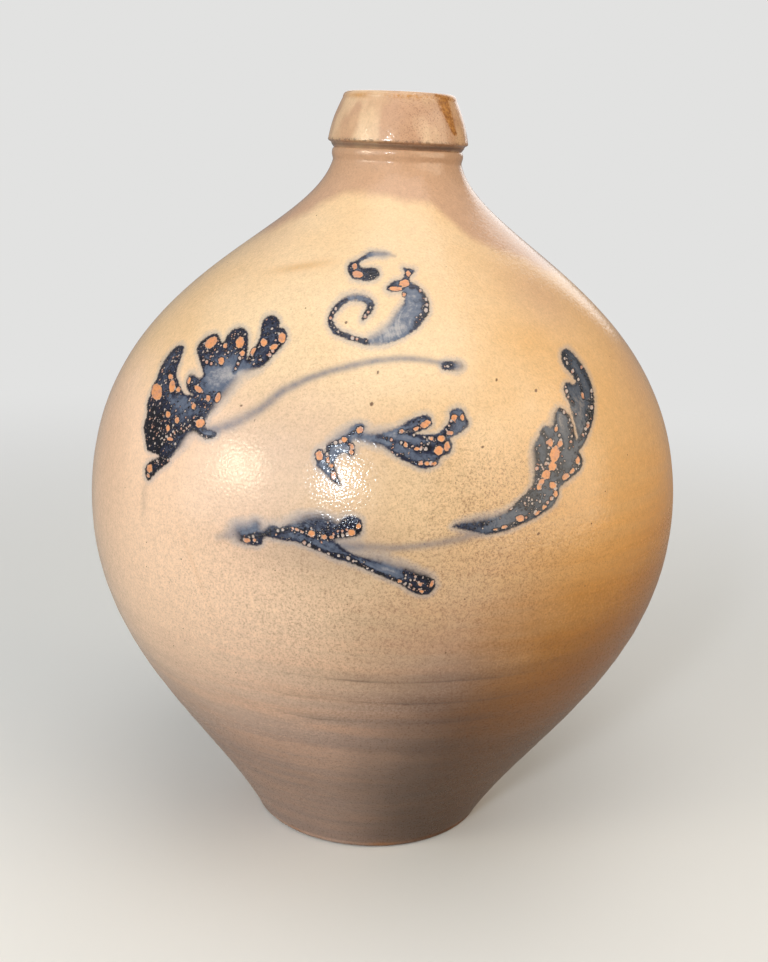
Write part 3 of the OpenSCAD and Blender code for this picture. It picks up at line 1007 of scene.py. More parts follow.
# The 3: a loaded top, a fat bowl and the curl below, then the sprigs
numeral_top = Stroke(
    outline=[
        (-3.5, 299), (-7.5, 299.5), (-10.5, 299.5), (-13.5, 297.5), (-16, 296), (-18.5, 295), (-19.5, 293),
        (-18.5, 290.5), (-16.5, 289), (-13.5, 288.5), (-9.5, 288.5), (-7, 289.5), (-5.5, 291), (-6, 292.5),
        (-8, 293.5), (-11, 293.5), (-13.5, 293.5), (-14.5, 295), (-13.5, 296), (-10.5, 297.5), (-7, 298.5),
    ],
    load=0.6,
    pools=[(-9, 291, 4, 2.5, 0, 0.6), (-8, 298.5, 5, 2, 0, -0.3), (-18, 292, 2, 3, 0, 0.3)],
    soft=[(-5, 299, 5, 2, 0, 1.2)],
    blisters=[(-16.5, 293.6, 1.4, 1.3), (-15, 290.7, 2.6, 1.4)],
)
numeral_bowl = Stroke(
    outline=[
        (-2, 286.5), (-1, 287.5), (1, 289), (3.5, 289.5), (5, 290.5), (5.5, 292.5), (4.5, 294), (6.5, 294),
        (9.5, 293.5), (9, 292), (7.5, 290.5), (8.5, 288.5), (11, 287.5), (13.5, 285.5), (15.5, 283),
        (16.5, 280), (16, 277), (14, 274.5), (11.5, 271.5), (9, 270), (5.5, 268), (2, 266.5), (-2, 265.5),
        (-6, 265), (-9, 265.5), (-9, 267), (-6, 268.5), (-3, 270.5), (0.5, 274), (2.5, 277), (5, 280),
        (6, 283), (5, 285), (2, 285), (-0.5, 285), (-2, 285.5),
    ],
    load=0.42,
    pools=[
        (1, 270, 8, 4, 35, -0.3), (15, 279, 2.5, 6, 10, 0.4), (11, 273.5, 4, 2, 45, 0.25),
        (0, 287, 3, 1.5, 0, 0.4), (7.5, 291.5, 3, 3, 0, 0.3),
    ],
    soft=[(-4, 269, 7, 4, 30, 1.2), (3, 277, 3, 6, -30, 0.8)],
    seams=[
        [(8.5, 287), (11.5, 286.5), (14, 284), (15.3, 281.5), (15, 278.5), (13.5, 276), (11, 273.5)],
    ],
    blisters=[(5.5, 288.2, 2.4, 1.4), (1.8, 286, 3, 0.9), (6.9, 292, 1.1, 1.3), (5.5, 284, 0.9, 0.9)],
)
# The curl is one narrow line that bubbled into a chain
numeral_curl = Stroke(
    outline=[
        (-8.5, 264.8), (-12, 265.3), (-16, 266), (-20, 267.2), (-23, 268), (-25.5, 270.5), (-26.3, 273.3),
        (-25.5, 276), (-24, 278.3), (-21.5, 280.6), (-19, 282), (-15.5, 283), (-12, 283), (-9, 282),
        (-7, 280.3), (-7.3, 278), (-9, 275.5), (-11.8, 273.5), (-11.5, 276), (-10.3, 278), (-10, 279.3),
        (-12, 280.4), (-15.5, 280.8), (-18.3, 280), (-20.5, 278.5), (-22.3, 276.7), (-23.6, 275),
        (-24.2, 273.4), (-23.4, 271.8), (-21.5, 270), (-19, 268.9), (-15.5, 268), (-12, 267.3), (-9, 267),
    ],
    load=0.5,
    pools=[(-14, 282, 6, 2, 0, -0.15), (-9, 277.5, 3, 4, -30, 0.3)],
    soft=[(-15, 283, 8, 3, 0, 0.6)],
    seams=[
        [(-9.5, 266), (-11.5, 266.3), (-13.5, 266.6), (-15.5, 267), (-17.5, 267.4), (-20, 268.3),
         (-22.5, 269.5), (-24.4, 271.5), (-25.2, 273.3), (-24.6, 275.3), (-23.2, 277.4), (-21.3, 279.3),
         (-19, 280.8)],
        [(-8.3, 279.3), (-8.8, 278), (-9.8, 276.3), (-11.3, 274.5)],
    ],
)
left_leaf = Stroke(
    outline=[
        (-91, 255), (-92.5, 255.5), (-95.5, 254), (-99, 250), (-101.5, 245), (-103, 239.5), (-104.5, 235),
        (-106, 230.5), (-105.5, 226), (-106.5, 220.5), (-105, 216.5), (-103.5, 212.5), (-101.5, 212),
        (-99.5, 212), (-96, 211.5), (-94.5, 210), (-97.5, 207), (-100, 204), (-99, 206), (-96, 209),
        (-92, 211.5), (-89, 215), (-86, 219), (-84, 222.5), (-81, 224.5), (-78.5, 224), (-75, 223),
        (-71.5, 224), (-70.5, 226), (-75.5, 227), (-76, 229.5), (-74, 233), (-71.5, 236.5), (-69.5, 239.5),
        (-64.5, 246.5), (-61.5, 250), (-57.5, 251.5), (-53.5, 253), (-50.5, 255.5), (-47.5, 259),
        (-44, 263), (-43, 265.5), (-44.5, 268), (-47, 268.5), (-47, 270), (-48.5, 272), (-51.5, 272.5),
        (-54, 271), (-55, 268), (-55, 264.5), (-56.5, 260.5), (-59, 257), (-60, 255.5), (-60, 259),
        (-60.5, 263.5), (-61.5, 265.5), (-64, 266.5), (-67.5, 265.5), (-70, 263), (-71.5, 260),
        (-73, 260.5), (-75, 262.5), (-78, 262), (-81, 260), (-83.5, 257.5), (-84, 255), (-82.5, 253),
        (-80.5, 249.5), (-79, 247), (-80.5, 245), (-82.5, 245.5), (-84, 246), (-86, 245), (-87, 242.5),
        (-85.5, 239.5), (-82.5, 238.5), (-85, 238), (-88, 238.5), (-91, 242), (-92.5, 244.5), (-92, 248.5),
        (-91, 252.5),
    ],
    load=0.78,
    pools=[
        (-101, 222, 6, 10, 0, 0.6), (-71, 248, 9, 6, 30, -0.58), (-88, 234, 6, 4, 0, -0.25),
        (-74, 225, 4, 2, 0, -0.35), (-62, 250, 5, 3, 20, -0.45), (-66, 262, 6, 4, 0, 0.15),
        (-78, 258, 6, 4, 0, 0.2), (-84, 216, 6, 2.5, 50, -0.2),
    ],
    soft=[(-66, 243, 14, 5, 45, 1.6), (-84, 220, 8, 4, 50, 1.0), (-84, 246, 3, 3, 0, 0.6)],
    seams=[
        [(-98, 213.5), (-94.5, 219), (-91, 221.5), (-86, 224), (-82.5, 227), (-78, 230.5)],
        [(-96, 244.5), (-93.5, 240.5), (-91, 238)],
        [(-81, 252.5), (-77.5, 251.5), (-74, 251.5), (-70.5, 251)],
        [(-63, 259), (-63, 255.5), (-64, 252), (-65, 250)],
        [(-59, 255), (-57, 258.5), (-54, 261.5), (-51.5, 262.5)],
        [(-50.5, 257), (-49, 259.5), (-46, 262.5)],
        [(-81, 225), (-77, 223.7), (-73, 223.5)],
    ],
    blisters=[
        (-77.5, 259, 3.4, 1.9, 35), (-63.8, 261, 2, 2.3), (-53.1, 262.2, 1.6, 1.6),
        (-45.4, 264.7, 1.7, 2.1), (-48.6, 261, 2, 1.2, 20), (-71.5, 253.1, 1.5, 1.6),
        (-62.3, 257.1, 1.3, 1.2), (-101.6, 235.8, 3.2, 3.2), (-93.8, 239.7, 1.6, 2.6),
        (-95.2, 242.8, 1.4, 1.2), (-80.6, 241, 2.2, 1.2, -15), (-85.7, 243.2, 1, 1.6),
        (-82, 234.2, 1.2, 1.3), (-78.3, 228.4, 2.3, 1.7, 30), (-94.1, 228.6, 1.4, 1.6),
        (-89.4, 227.3, 1.3, 1.3), (-93.6, 223.4, 1.2, 1.3), (-92, 219.6, 1.8, 0.9),
        (-71.2, 239.4, 1.2, 2.2, -15), (-75.7, 238.4, 1.2, 1.4), (-90.4, 239.2, 1.2, 1.2),
        (-70.4, 258.9, 1.1, 1.2), (-57.5, 258.5, 0.9, 1.8, -35),
    ],
)
left_drop = Stroke(
    outline=[
        (-94, 213), (-91.5, 211), (-93, 209), (-95.5, 207), (-98, 204.5), (-100, 202), (-102, 200),
        (-103.5, 201.5), (-104, 204), (-103, 206.5), (-100.5, 209), (-98, 210.5),
    ],
    load=1.0,
    seams=[
        [(-99, 209), (-95.5, 210.3), (-92.5, 211)],
    ],
    blisters=[(-101.6, 205.2, 1.5, 2, -20), (-102, 202, 1, 0.9)],
)
centre_sprig = Stroke(
    outline=[
        (-28, 223.5), (-26, 225.5), (-24.5, 224), (-23.5, 225), (-23.5, 227), (-21.5, 228.5), (-19, 230.5),
        (-16, 232.5), (-14, 234.5), (-11.5, 236), (-9.5, 236), (-8, 235), (-8.5, 233), (-4.5, 232.5),
        (0, 233.5), (4.5, 235), (9, 237.5), (13.5, 239.5), (17, 240), (18.5, 238.5), (18.5, 236),
        (15.5, 234.5), (12.5, 233.5), (14, 233), (20.5, 233), (23.5, 235), (26, 238), (26, 241),
        (27.5, 242.3), (29.5, 242.5), (31.5, 241.5), (33, 239), (34, 236.5), (31.5, 234), (28.5, 232.5),
        (26.5, 231.5), (27.5, 229), (27, 226.5), (24.5, 225), (22.5, 224), (22, 222), (19.5, 220.5),
        (16, 220), (12.5, 221), (9, 222.5), (4.5, 224.5), (0, 227.5), (-4.5, 228.5), (-9.5, 229.5),
        (-12.5, 229.5), (-13.5, 228.5), (-12, 227), (-12, 224.5), (-13.5, 223.5), (-16, 224.5),
        (-18.5, 223.5), (-20, 220.5), (-19, 217), (-17, 212.5), (-18.5, 212.5), (-21.5, 214.5),
        (-24.5, 217), (-27, 219),
    ],
    load=0.44,
    pools=[
        (22, 228, 5, 4, 0, 0.35), (15, 227, 6, 3, -10, 0.25), (29, 238, 5, 4, 40, 0.2),
        (14, 238, 6, 2, 20, 0.25), (-17, 226, 4, 3, 0, -0.2), (4, 232, 8, 1.6, 10, -0.15),
        (-26, 222, 3, 4, 0, 0.2), (-19, 215, 3, 4, 0, 0.2), (-15, 233, 6, 2, 30, -0.1),
        (2, 229, 12, 4, -10, 0.12),
    ],
    soft=[(-4, 234, 10, 3, 10, 1.0), (-19, 231, 6, 4, 40, 1.0), (-4, 228, 10, 3, -15, 0.7)],
    seams=[
        [(-18.5, 213.5), (-20.5, 217.5), (-22.5, 221.5), (-23, 225), (-21.5, 227.5), (-17, 229),
         (-13.5, 232), (-9.5, 234)],
        [(-15.5, 228.5), (-13, 227), (-12.7, 225.2), (-14, 224.5)],
        [(5.5, 233.2), (8, 233.5), (11.5, 234.5), (16.5, 237)],
        [(-2.5, 231.5), (2.5, 230.5), (8.5, 229), (13.5, 227.5), (18, 227.5)],
        [(8, 233.5), (14, 232), (18.5, 231.5), (23.5, 231)],
        [(0.5, 226), (5, 225), (9.5, 223), (14.5, 222), (20, 222)],
        [(23.5, 231), (25.5, 235.5), (27.5, 239.5)],
    ],
    blisters=[
        (-26.1, 222.8, 1.6, 2), (-10.2, 233.6, 1.5, 1.4), (-16.3, 229.6, 1.3, 1.1), (-13.4, 224.9, 1.4, 1),
        (-13.1, 227.1, 1, 1.1), (-20, 215.8, 1.2, 1.9, 10), (-22.5, 221.2, 0.9, 1.2),
        (-21.1, 219.4, 0.9, 0.9), (16.2, 236.6, 2.4, 1.3, 25), (12.6, 234.8, 1.3, 0.8, 20),
        (6.6, 233.8, 1.1, 1), (22.8, 231.3, 1.8, 1.2, -10), (18.9, 231.3, 1.1, 0.9),
        (21.9, 226.8, 1.9, 1.7), (25.3, 228.3, 1.3, 2), (26.2, 233.4, 1.6, 1), (28, 239, 1.3, 1.3),
        (31.2, 239.2, 1, 1.4), (8.5, 228.7, 1, 1), (13, 227.4, 1.2, 0.8), (14.8, 222, 1.4, 1),
        (17.5, 221.9, 1.1, 0.9), (20.4, 221.9, 1.1, 0.9),
    ],
)
right_leaf = Stroke(
    outline=[
        (78, 262.5), (75.5, 261.8), (75, 259), (76.5, 256), (79, 253.5), (81.5, 250), (80, 249),
        (78.5, 250), (76.5, 250), (75.5, 248), (76.5, 245), (78, 242.5), (79, 239.5), (80, 236),
        (81.8, 229.5), (81, 228.5), (79.8, 233), (78, 237.5), (75.5, 240), (73, 241), (71.5, 239.5),
        (70.5, 236.5), (70, 234.5), (67, 234.5), (65, 233.5), (64, 230.5), (62.5, 229), (61.5, 226),
        (62, 222), (62.5, 218), (62, 213), (59.5, 209.5), (57, 207.5), (54, 205), (51.5, 203), (48, 201.5),
        (43.5, 200.5), (36.5, 199.5), (31.5, 198.5), (29, 197.3), (32.5, 196.3), (38, 195), (43.5, 193.8),
        (48, 194.3), (52.5, 195.2), (57, 196.8), (62.5, 198.6), (67.5, 201), (71.5, 203.5), (73.5, 207),
        (74, 210), (76.5, 212), (80, 214), (83, 216), (84.3, 219), (83.5, 222), (82.5, 223.5), (85.5, 227),
        (88, 231.5), (89.8, 236), (90.3, 241.5), (89.8, 246.5), (88, 251.5), (85.5, 255.5), (82.5, 259),
        (80, 261.5),
    ],
    load=0.49,
    pools=[
        (77, 260, 3, 3, 0, 0.3), (88, 237, 2.5, 8, -15, 0.35), (79, 232, 2, 6, 0, 0.35),
        (61, 207, 5, 5, 0, 0.4), (74, 217, 4, 4, 0, 0.3), (38, 197.5, 8, 1.5, 5, 0.3),
        (68, 222, 5, 7, 0, 0.15), (82, 219, 3, 4, 0, 0.3), (50, 199, 6, 2, 15, -0.1),
        (84, 242, 2, 7, -10, -0.2), (74.5, 236, 1.5, 4, 0, -0.2),
    ],
    soft=[(42, 201, 12, 3, 10, 1.2), (62, 222, 3, 8, 0, 1.0), (70, 237, 3, 5, 0, 0.8)],
    seams=[
        [(83.5, 257), (87, 251.5), (89, 246.5), (89, 241.5), (88, 236), (85.5, 231.5), (83, 228)],
        [(76, 260), (78.5, 256), (82, 252), (84.5, 246.5), (85, 243.5)],
        [(76.5, 248.5), (77.5, 245), (80, 242)],
        [(73.5, 240.5), (77, 238), (79, 234), (79, 229.5), (78, 225)],
        [(71.5, 238), (71.7, 235), (73, 231), (74.5, 226), (72.5, 222.5)],
        [(66, 232), (67.5, 229.5), (68.5, 226), (68, 221.5), (65.5, 216.5), (63.5, 213)],
        [(83, 221.5), (82.3, 217.8), (78, 214.5), (72.5, 212), (71.5, 207.5), (67, 203.5), (60.5, 200),
         (53.5, 197), (46.5, 195.2)],
        [(63, 226.5), (63.5, 219.5), (62.5, 213), (57.5, 208.5), (52.5, 203.5)],
    ],
    blisters=[
        (71.3, 223.6, 2.3, 3.2, -10), (70.4, 218.8, 1.8, 1.8), (67.6, 215.9, 2, 1.9),
        (69.2, 228.1, 1.2, 2, 15), (73.6, 227.3, 1.3, 1.4), (71.8, 233.1, 0.9, 1.1),
        (65.6, 213.4, 1.5, 1.4), (70.7, 211.5, 1.9, 1.3, -30), (64.7, 211.3, 1.2, 1.2),
        (72.2, 207.9, 1, 1.5), (76.5, 214.3, 2, 1.3, 30), (82, 219.9, 1.2, 1.5), (57.1, 199.5, 2.1, 1.5),
        (64.5, 201, 2, 0.8, 25), (67.5, 203, 1.2, 0.8, 35), (86.8, 232.8, 1.1, 0.9),
        (84.6, 244.5, 0.8, 1.6, 20), (50.5, 196.5, 1.4, 0.8, 10), (46.8, 195.5, 1.2, 0.7),
        (79.6, 216.2, 1.5, 0.9, 35),
    ],
)
stem_end = Stroke(
    outline=[
        (22, 258.5), (23.5, 259.8), (26, 260), (29, 259.3), (30.5, 258), (28.5, 256.8), (25.5, 256.4),
        (23, 256.8),
    ],
    load=0.62,
    pools=[(24, 258, 2, 1.5, 0, 0.3)],
    soft=[(30, 258, 3, 3, 0, 1.5)],
)
high_stem = (
    [
        (-73, 226.5, 2.2), (-64.5, 230, 2.4), (-59.5, 233, 2.2), (-53, 237, 2), (-47.5, 241.5, 2),
        (-42, 246, 1.8), (-30, 252, 1.5), (-18, 256, 1.5), (-6, 259, 1.4), (6, 260.4, 1.3), (16, 260, 1.2),
        (24, 258.5, 1.2),
    ],
    0.8,
)
numeral_tail = ([(-8, 299, 1), (-3, 299.2, 0.9), (1, 298.5, 0.7)], 0.45)

upper_wall = throw("upper_wall", upper_section, wall_finish, WALL_SEED)
numeral = [numeral_top, numeral_bowl, numeral_curl]
sprigs = [left_leaf, left_drop, centre_sprig, right_leaf, stem_end]
paint(upper_wall, [bottom_sprig, *numeral, *sprigs], [low_stem, left_tail, high_stem, numeral_tail])
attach(upper_wall, "root")
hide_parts("upper_body")


# Collar: the thick lip thrown on to the neck's spigot and turned to a taper, with an undercut for
# the cord that tied down a cover. The flame flashed it pinkish brown, and iron has run down one side.
COLLAR_R = 34
LIP_R = 27.5
COLLAR_EDGE_H = 347.5
COLLAR_EDGE_R = 0.8
COLLAR_EDGE_STEPS = 4
COLLAR_SWELL = 0.9
COLLAR_SIDE_STEPS = 24
UNDERCUT_OUT = 1.1
UNDERCUT_RISE = 1.5
UNDERCUT_EDGE_IN = 1.5
UNDERCUT_EDGE_DOWN = 1.3
LIP_ROUND_R = 3
LIP_OUTER_STEPS = 10
LIP_INNER_STEPS = 8
COLLAR_BORE_ROW = 361
COLLAR_PEEL_DEPTH = 0.06
# Heights of the painted shade in the undercut, of the line on the edge and of the rusty line under the lip
UNDERCUT_SHADE_H = 345.2
EDGE_LINE_H = 347.4
RUST_LINE_H = 367.4
# The run of iron: its place on the collar, how far it leans, where it widens from and where it ends
IRON_RUN_X = 22.8
IRON_RUN_H = 360.0
IRON_RUN_LEAN = 0.44
IRON_RUN_WIDENS_H = 351.0
IRON_RUN_ENDS_H = (349.5, 352.5)
# Place of a rusty spot on the lip, across and up
RUST_SPOT = (-19.0, 367.6)

side_share = np.linspace(0, 1, COLLAR_SIDE_STEPS + 1)
lip_h = JUG_H - LIP_ROUND_R
collar_section = np.vstack((
    [
        (SPIGOT_R, SEAT_H),
        (NECK_R, SEAT_H),
        (NECK_R + UNDERCUT_OUT, SEAT_H + UNDERCUT_RISE),
        (COLLAR_R - UNDERCUT_EDGE_IN, COLLAR_EDGE_H - UNDERCUT_EDGE_DOWN),
    ],
    arc(COLLAR_R - COLLAR_EDGE_R, COLLAR_EDGE_H, COLLAR_EDGE_R, COLLAR_EDGE_R, -60, -10, COLLAR_EDGE_STEPS),
    np.column_stack((
        COLLAR_R + (LIP_R - COLLAR_R) * side_share + COLLAR_SWELL * np.sin(math.pi * side_share),
        COLLAR_EDGE_H + (lip_h - COLLAR_EDGE_H) * side_share,
    )),
    arc(LIP_R - LIP_ROUND_R, lip_h, LIP_ROUND_R, LIP_ROUND_R, 0, 90, LIP_OUTER_STEPS)[1:],
    arc(MOUTH_R + LIP_ROUND_R, lip_h, LIP_ROUND_R, LIP_ROUND_R, 90, 180, LIP_INNER_STEPS),
    [(MOUTH_R, COLLAR_BORE_ROW), (MOUTH_R, SPIGOT_TOP_H), (SPIGOT_R, SPIGOT_TOP_H), (SPIGOT_R, SEAT_H)],
))


def collar_glaze():
    """Flashed glaze with painted shade in the undercut, an iron run at the right and a rusty line under the
    lip.
    """
    finish, fleck = salt_glaze("flashed glaze on the collar")
    x, z = finish.x, finish.z
    finish.tint(finish.drift.rise(0.2, 0.6) * 0.4 + 0.6, FLASH)
    pale = finish.noise(16, 2.0, where=finish.stretched(1.3, 0.6))
    finish.tint(pale.rise(0.45, 0.65) * 0.5, BUFF)
    dotted = finish.noise(1.6, 2.0, 0.7)
    # Painted shade: brown in the undercut under the collar's edge, darker on the shadow side at the right
    shadow_side = x.rise(-30.0, 34.0) * 0.25 + 0.7
    finish.tint((z + finish.wander(1.5)).hump(UNDERCUT_SHADE_H, 1.6) * shadow_side, RING_BROWN)
    finish.tint(z.hump(EDGE_LINE_H, 0.8) * dotted.rise(0.45, 0.6) * 0.55, RING_BROWN)
    finish.tint((x + (z - 347.0) * 0.3).rise(22.0, 36.0) * 0.45, IRON_ORANGE)
    rust_line = (z + finish.wander(2.0)).hump(RUST_LINE_H, 0.9) * dotted.rise(0.42, 0.6)
    finish.tint(rust_line * x.rise(-16.0, 4.0) * 0.75, IRON_ORANGE)
    finish.tint(fleck, IRON)
    in_front = finish.y.rise(0.0, -4.0)
    run_width = (z - IRON_RUN_WIDENS_H).at_least(0.0) * 0.17 + 1.1
    run = x - IRON_RUN_X + (z - IRON_RUN_H) * IRON_RUN_LEAN + finish.wander(4.0)
    run = run.hump(0.0, run_width)
    run = run * (z + finish.wander(5.0)).rise(*IRON_RUN_ENDS_H) * in_front
    rust = finish.mix(dotted.rise(0.35, 0.65), IRON_ORANGE, RUST)
    finish.tint((run * (dotted * 1.5 + 0.2)).rise(0.2, 0.75) * 0.9, rust)
    spot = x.hump(RUST_SPOT[0], 5.0) * z.hump(RUST_SPOT[1], 1.3) * in_front
    finish.tint(spot * (dotted + 0.3) * 0.7, IRON_ORANGE)
    peel, pits = orange_peel(finish)
    finish.tint(pits * x.rise(-12.0, 12.0) * 0.3, PEPPER)
    mottle(finish, pits, 0.3)
    return finish.surface(peel, COLLAR_PEEL_DEPTH, finish.grain * 0.16 + 0.09)


collar = throw("collar", collar_section, collar_glaze(), COLLAR_SEED)
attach(collar, "root")
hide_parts("neck_collar")


# Handle: a strap pulled from a lump of clay with a wet hand, which drew two flutes along it. Its upper
# end was pressed on under the neck's ring, and its lower end set on the shoulder with a push of the thumb.
STRAP_W = 33
STRAP_T = 12
ROOT_FLARE_W = 9
ROOT_FLARE_T = 5
ROOT_FLARE_L = 14
FLUTE_DEPTH = 0.8
FLUTES = 2
SECTION_POWER = 2.5
NECK_EMBED = 10
ROOT_EMBED = 6
THUMB_R = 11
THUMB_DEPTH = 2.2
THUMB_SHARE = 0.9
HANDLE_TOP_H = 331.3
HANDLE_FALL = 75
STRAP_OUT_SHARE = 0.66
STRAP_RISE_SHARE = 0.4
STRAP_BACK_SHARE = 0.48
STRAP_FALL_SHARE = 0.72
STRAP_ROWS = 150
STRAP_COLUMNS = 84
STRAP_PATH_STEPS = 200
# How far the strap strays sideways, and how many such bends there are to a metre
STRAP_SWAY = 1.0
STRAP_SWAY_SCALE = 22.0
STRAP_SEED = 2.0
STRAP_PEEL_DEPTH = 0.05

wall_points = on_curve(upper_curve, np.linspace(0, 1, 400))
top_wall_r = float(np.interp(HANDLE_TOP_H, wall_points[:, 1], wall_points[:, 0]))
foot_wall_r = float(np.interp(HANDLE_TOP_H - HANDLE_FALL, wall_points[:, 1], wall_points[:, 0]))
handle_run = foot_wall_r - NECK_R
strap_curve = np.array([
    (top_wall_r - NECK_EMBED, HANDLE_TOP_H),
    (NECK_R + STRAP_OUT_SHARE * handle_run, HANDLE_TOP_H + STRAP_RISE_SHARE * HANDLE_FALL),
    (foot_wall_r + STRAP_BACK_SHARE * handle_run, HANDLE_TOP_H + (STRAP_FALL_SHARE - 1) * HANDLE_FALL),
    (foot_wall_r - ROOT_EMBED, HANDLE_TOP_H - HANDLE_FALL),
])


def strap_tree():
    """Tree that pulls a strap along a curve: a squared oval with flutes, flared where it is pressed on."""
    tree, wanted = form_tree("pulled strap", (
        ("Start mesh", "Geometry"), ("Rows", "Int"), ("Columns", "Int"),
        ("Start", "Vector"), ("Start pull", "Vector"), ("End pull", "Vector"), ("End", "Vector"),
        ("Width", "Float"), ("Thickness", "Float"),
        ("Flare width", "Float"), ("Flare thickness", "Float"), ("Flare length", "Float"),
        ("Squareness", "Float"), ("Flutes", "Float"), ("Flute depth", "Float"),
        ("Start embed", "Float"), ("End embed", "Float"),
        ("Thumb", "Vector"), ("Thumb radius", "Float"),
        ("Unevenness", "Float"), ("Seed", "Float"), ("Finish", "Material"),
    ))

    def vector_math(operation, first, second=None, scale=None):
        """One step of arithmetic on places or directions."""
        inputs = {0: first, 1: second, "Scale": scale}
        given = {name: value for name, value in inputs.items() if value is not None}
        return add_node(tree, "ShaderNodeVectorMath", given, operation=operation)

    path = add_node(tree, "GeometryNodeCurvePrimitiveBezierSegment", {
        "Resolution": STRAP_PATH_STEPS, "Start": wanted("Start"), "Start Handle": wanted("Start pull"),
        "End Handle": wanted("End pull"), "End": wanted("End"),
    }, mode="POSITION")
    length = add_node(tree, "GeometryNodeCurveLength", {"Curve": path})
    grid, along, round_about = grid_of(tree, wanted("Rows"), wanted("Columns"))
    row = (along * (wanted("Rows") - 1.0)).math("ROUND")
    share = ((row - 1.0) / (wanted("Rows") - 3.0)).at_least(0.0).at_most(1.0)
    not_cap = along.at_most(-along + 1.0).rise(0.0, 0.0001)
    turn = round_about * (2 * math.pi)
    sample = add_node(tree, "GeometryNodeSampleCurve", {"Curves": path, "Factor": share}, mode="FACTOR")
    middle = sample.output("Position")
    outward = vector_math("CROSS_PRODUCT", (1.0, 0.0, 0.0), sample.output("Tangent"))
    run = share * length
    from_wall = (run - wanted("Start embed")).at_most(length - run - wanted("End embed")).at_least(0.0)
    flare = from_wall.hump(0.0, wanted("Flare length"))
    half_width = (wanted("Width") + wanted("Flare width") * flare) * 0.5
    half_thickness = (wanted("Thickness") + wanted("Flare thickness") * flare) * 0.5
    exponent = add_node(tree, "ShaderNodeMath", {0: 2.0, 1: wanted("Squareness")}, operation="DIVIDE")
    cosine = turn.math("COSINE")
    sine = turn.math("SINE")
    across = cosine.math("SIGN") * cosine.math("ABSOLUTE").math("POWER", exponent)
    through = sine.math("SIGN") * sine.math("ABSOLUTE").math("POWER", exponent)
    wave = ((across + 1.0) * wanted("Flutes") * (math.pi / 2)).math("SINE")
    flute = wanted("Flute depth") * (-flare + 1.0) * wave * wave * sine.rise(0.0, 0.15)
    unevenness = add_node(tree, "ShaderNodeTexNoise", {
        "Vector": middle, "W": wanted("Seed"), "Scale": STRAP_SWAY_SCALE, "Detail": 1.0,
    }, noise_dimensions="4D")
    sideways = half_width * across * not_cap + (unevenness - 0.5) * wanted("Unevenness")
    rise = (half_thickness * through - flute) * not_cap
    place = vector_math("ADD", middle, vector_math("SCALE", outward, scale=rise))
    place = vector_math("ADD", place, add_node(tree, "ShaderNodeCombineXYZ", {"X": sideways}))
    from_thumb = vector_math("SUBTRACT", place, wanted("Thumb"))
    gap = vector_math("LENGTH", from_thumb).output("Value").at_least(wanted("Thumb radius"))
    pushed = vector_math("SCALE", vector_math("NORMALIZE", from_thumb), scale=gap)
    end_form(tree, grid, vector_math("ADD", pushed, wanted("Thumb")), wanted("Finish"))
    return tree


def handle_glaze():
    """Buff glaze, flashed pinkish in clouds and dragged along the strap by the wet hand that pulled it."""
    finish, fleck = salt_glaze("salt glaze on the handle")
    finish.tint(finish.drift.rise(0.35, 0.65) * 0.7, FLASH)
    streak = finish.noise(6, 3.0, where=finish.stretched(3.0, 0.4))
    finish.tint(streak.rise(0.55, 0.75) * 0.4, TAUPE)
    finish.tint((finish.z - finish.wander(14.0)).rise(285.0, 262.0) * 0.3, TAUPE)
    finish.tint(fleck, IRON)
    peel, pits = orange_peel(finish)
    mottle(finish, pits, 0.3)
    drag = finish.noise(1.6, 2.0, where=finish.stretched(1.0, 0.12))
    return finish.surface(peel + drag * 1.2, STRAP_PEEL_DEPTH, finish.grain * 0.16 + 0.12)


def in_air(point):
    """A point of the strap's curve as a place on the jug, in metres."""
    return (0.0, float(point[0]) * MM, float(point[1]) * MM)


thumb_at, thumb_next = on_curve(strap_curve, np.array((THUMB_SHARE, THUMB_SHARE + 0.001)))
thumb_way = thumb_next - thumb_at
thumb_out = np.array((-thumb_way[1], thumb_way[0])) / np.hypot(*thumb_way)
thumb_centre = thumb_at + (STRAP_T / 2 + ROOT_FLARE_T / 4 - THUMB_DEPTH + THUMB_R) * thumb_out
handle = grown("handle", bpy.data.meshes.new("handle start"), strap_tree(), {
    "Rows": STRAP_ROWS,
    "Columns": STRAP_COLUMNS,
    "Start": in_air(strap_curve[0]),
    "Start pull": in_air(strap_curve[1]),
    "End pull": in_air(strap_curve[2]),
    "End": in_air(strap_curve[3]),
    "Width": STRAP_W * MM,
    "Thickness": STRAP_T * MM,
    "Flare width": ROOT_FLARE_W * MM,
    "Flare thickness": ROOT_FLARE_T * MM,
    "Flare length": ROOT_FLARE_L * MM,
    "Squareness": SECTION_POWER,
    "Flutes": float(FLUTES),
    "Flute depth": FLUTE_DEPTH * MM,
    "Start embed": NECK_EMBED * MM,
    "End embed": ROOT_EMBED * MM,
    "Thumb": in_air(thumb_centre),
    "Thumb radius": THUMB_R * MM,
    "Unevenness": STRAP_SWAY * MM,
    "Seed": STRAP_SEED,
    "Finish": handle_glaze(),
})
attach(handle, "root")
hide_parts("strap_handle")


# Inside slip: brown slip swilled round the thrown jug and poured out before the firing, so that the
# porous body holds liquid. It fired to a dark, wet gloss, thinner and redder towards the neck.
LINING_BROWN = srgb(66, 38, 24)
LINING_DARK = srgb(44, 26, 18)
LINING_RED = srgb(112, 64, 36)
LINING_RUN_DEPTH = 0.25


def slip_glaze():
    """Dark brown slip, clouded, with runs down it."""
    finish = Finish("dark slip inside")
    cloud = finish.noise(30, 3.0)
    finish.colour = finish.mix(cloud.rise(0.3, 0.7), LINING_BROWN, LINING_DARK)
    finish.tint((finish.z + (cloud - 0.5) * 20.0).rise(318.0, 338.0) * 0.8, LINING_RED)
    runs = finish.noise(9, 2.0, where=finish.stretched(1.0, 0.15))
    return finish.surface(runs + finish.noise(2.0) * 0.3, LINING_RUN_DEPTH, cloud * 0.1 + 0.14)


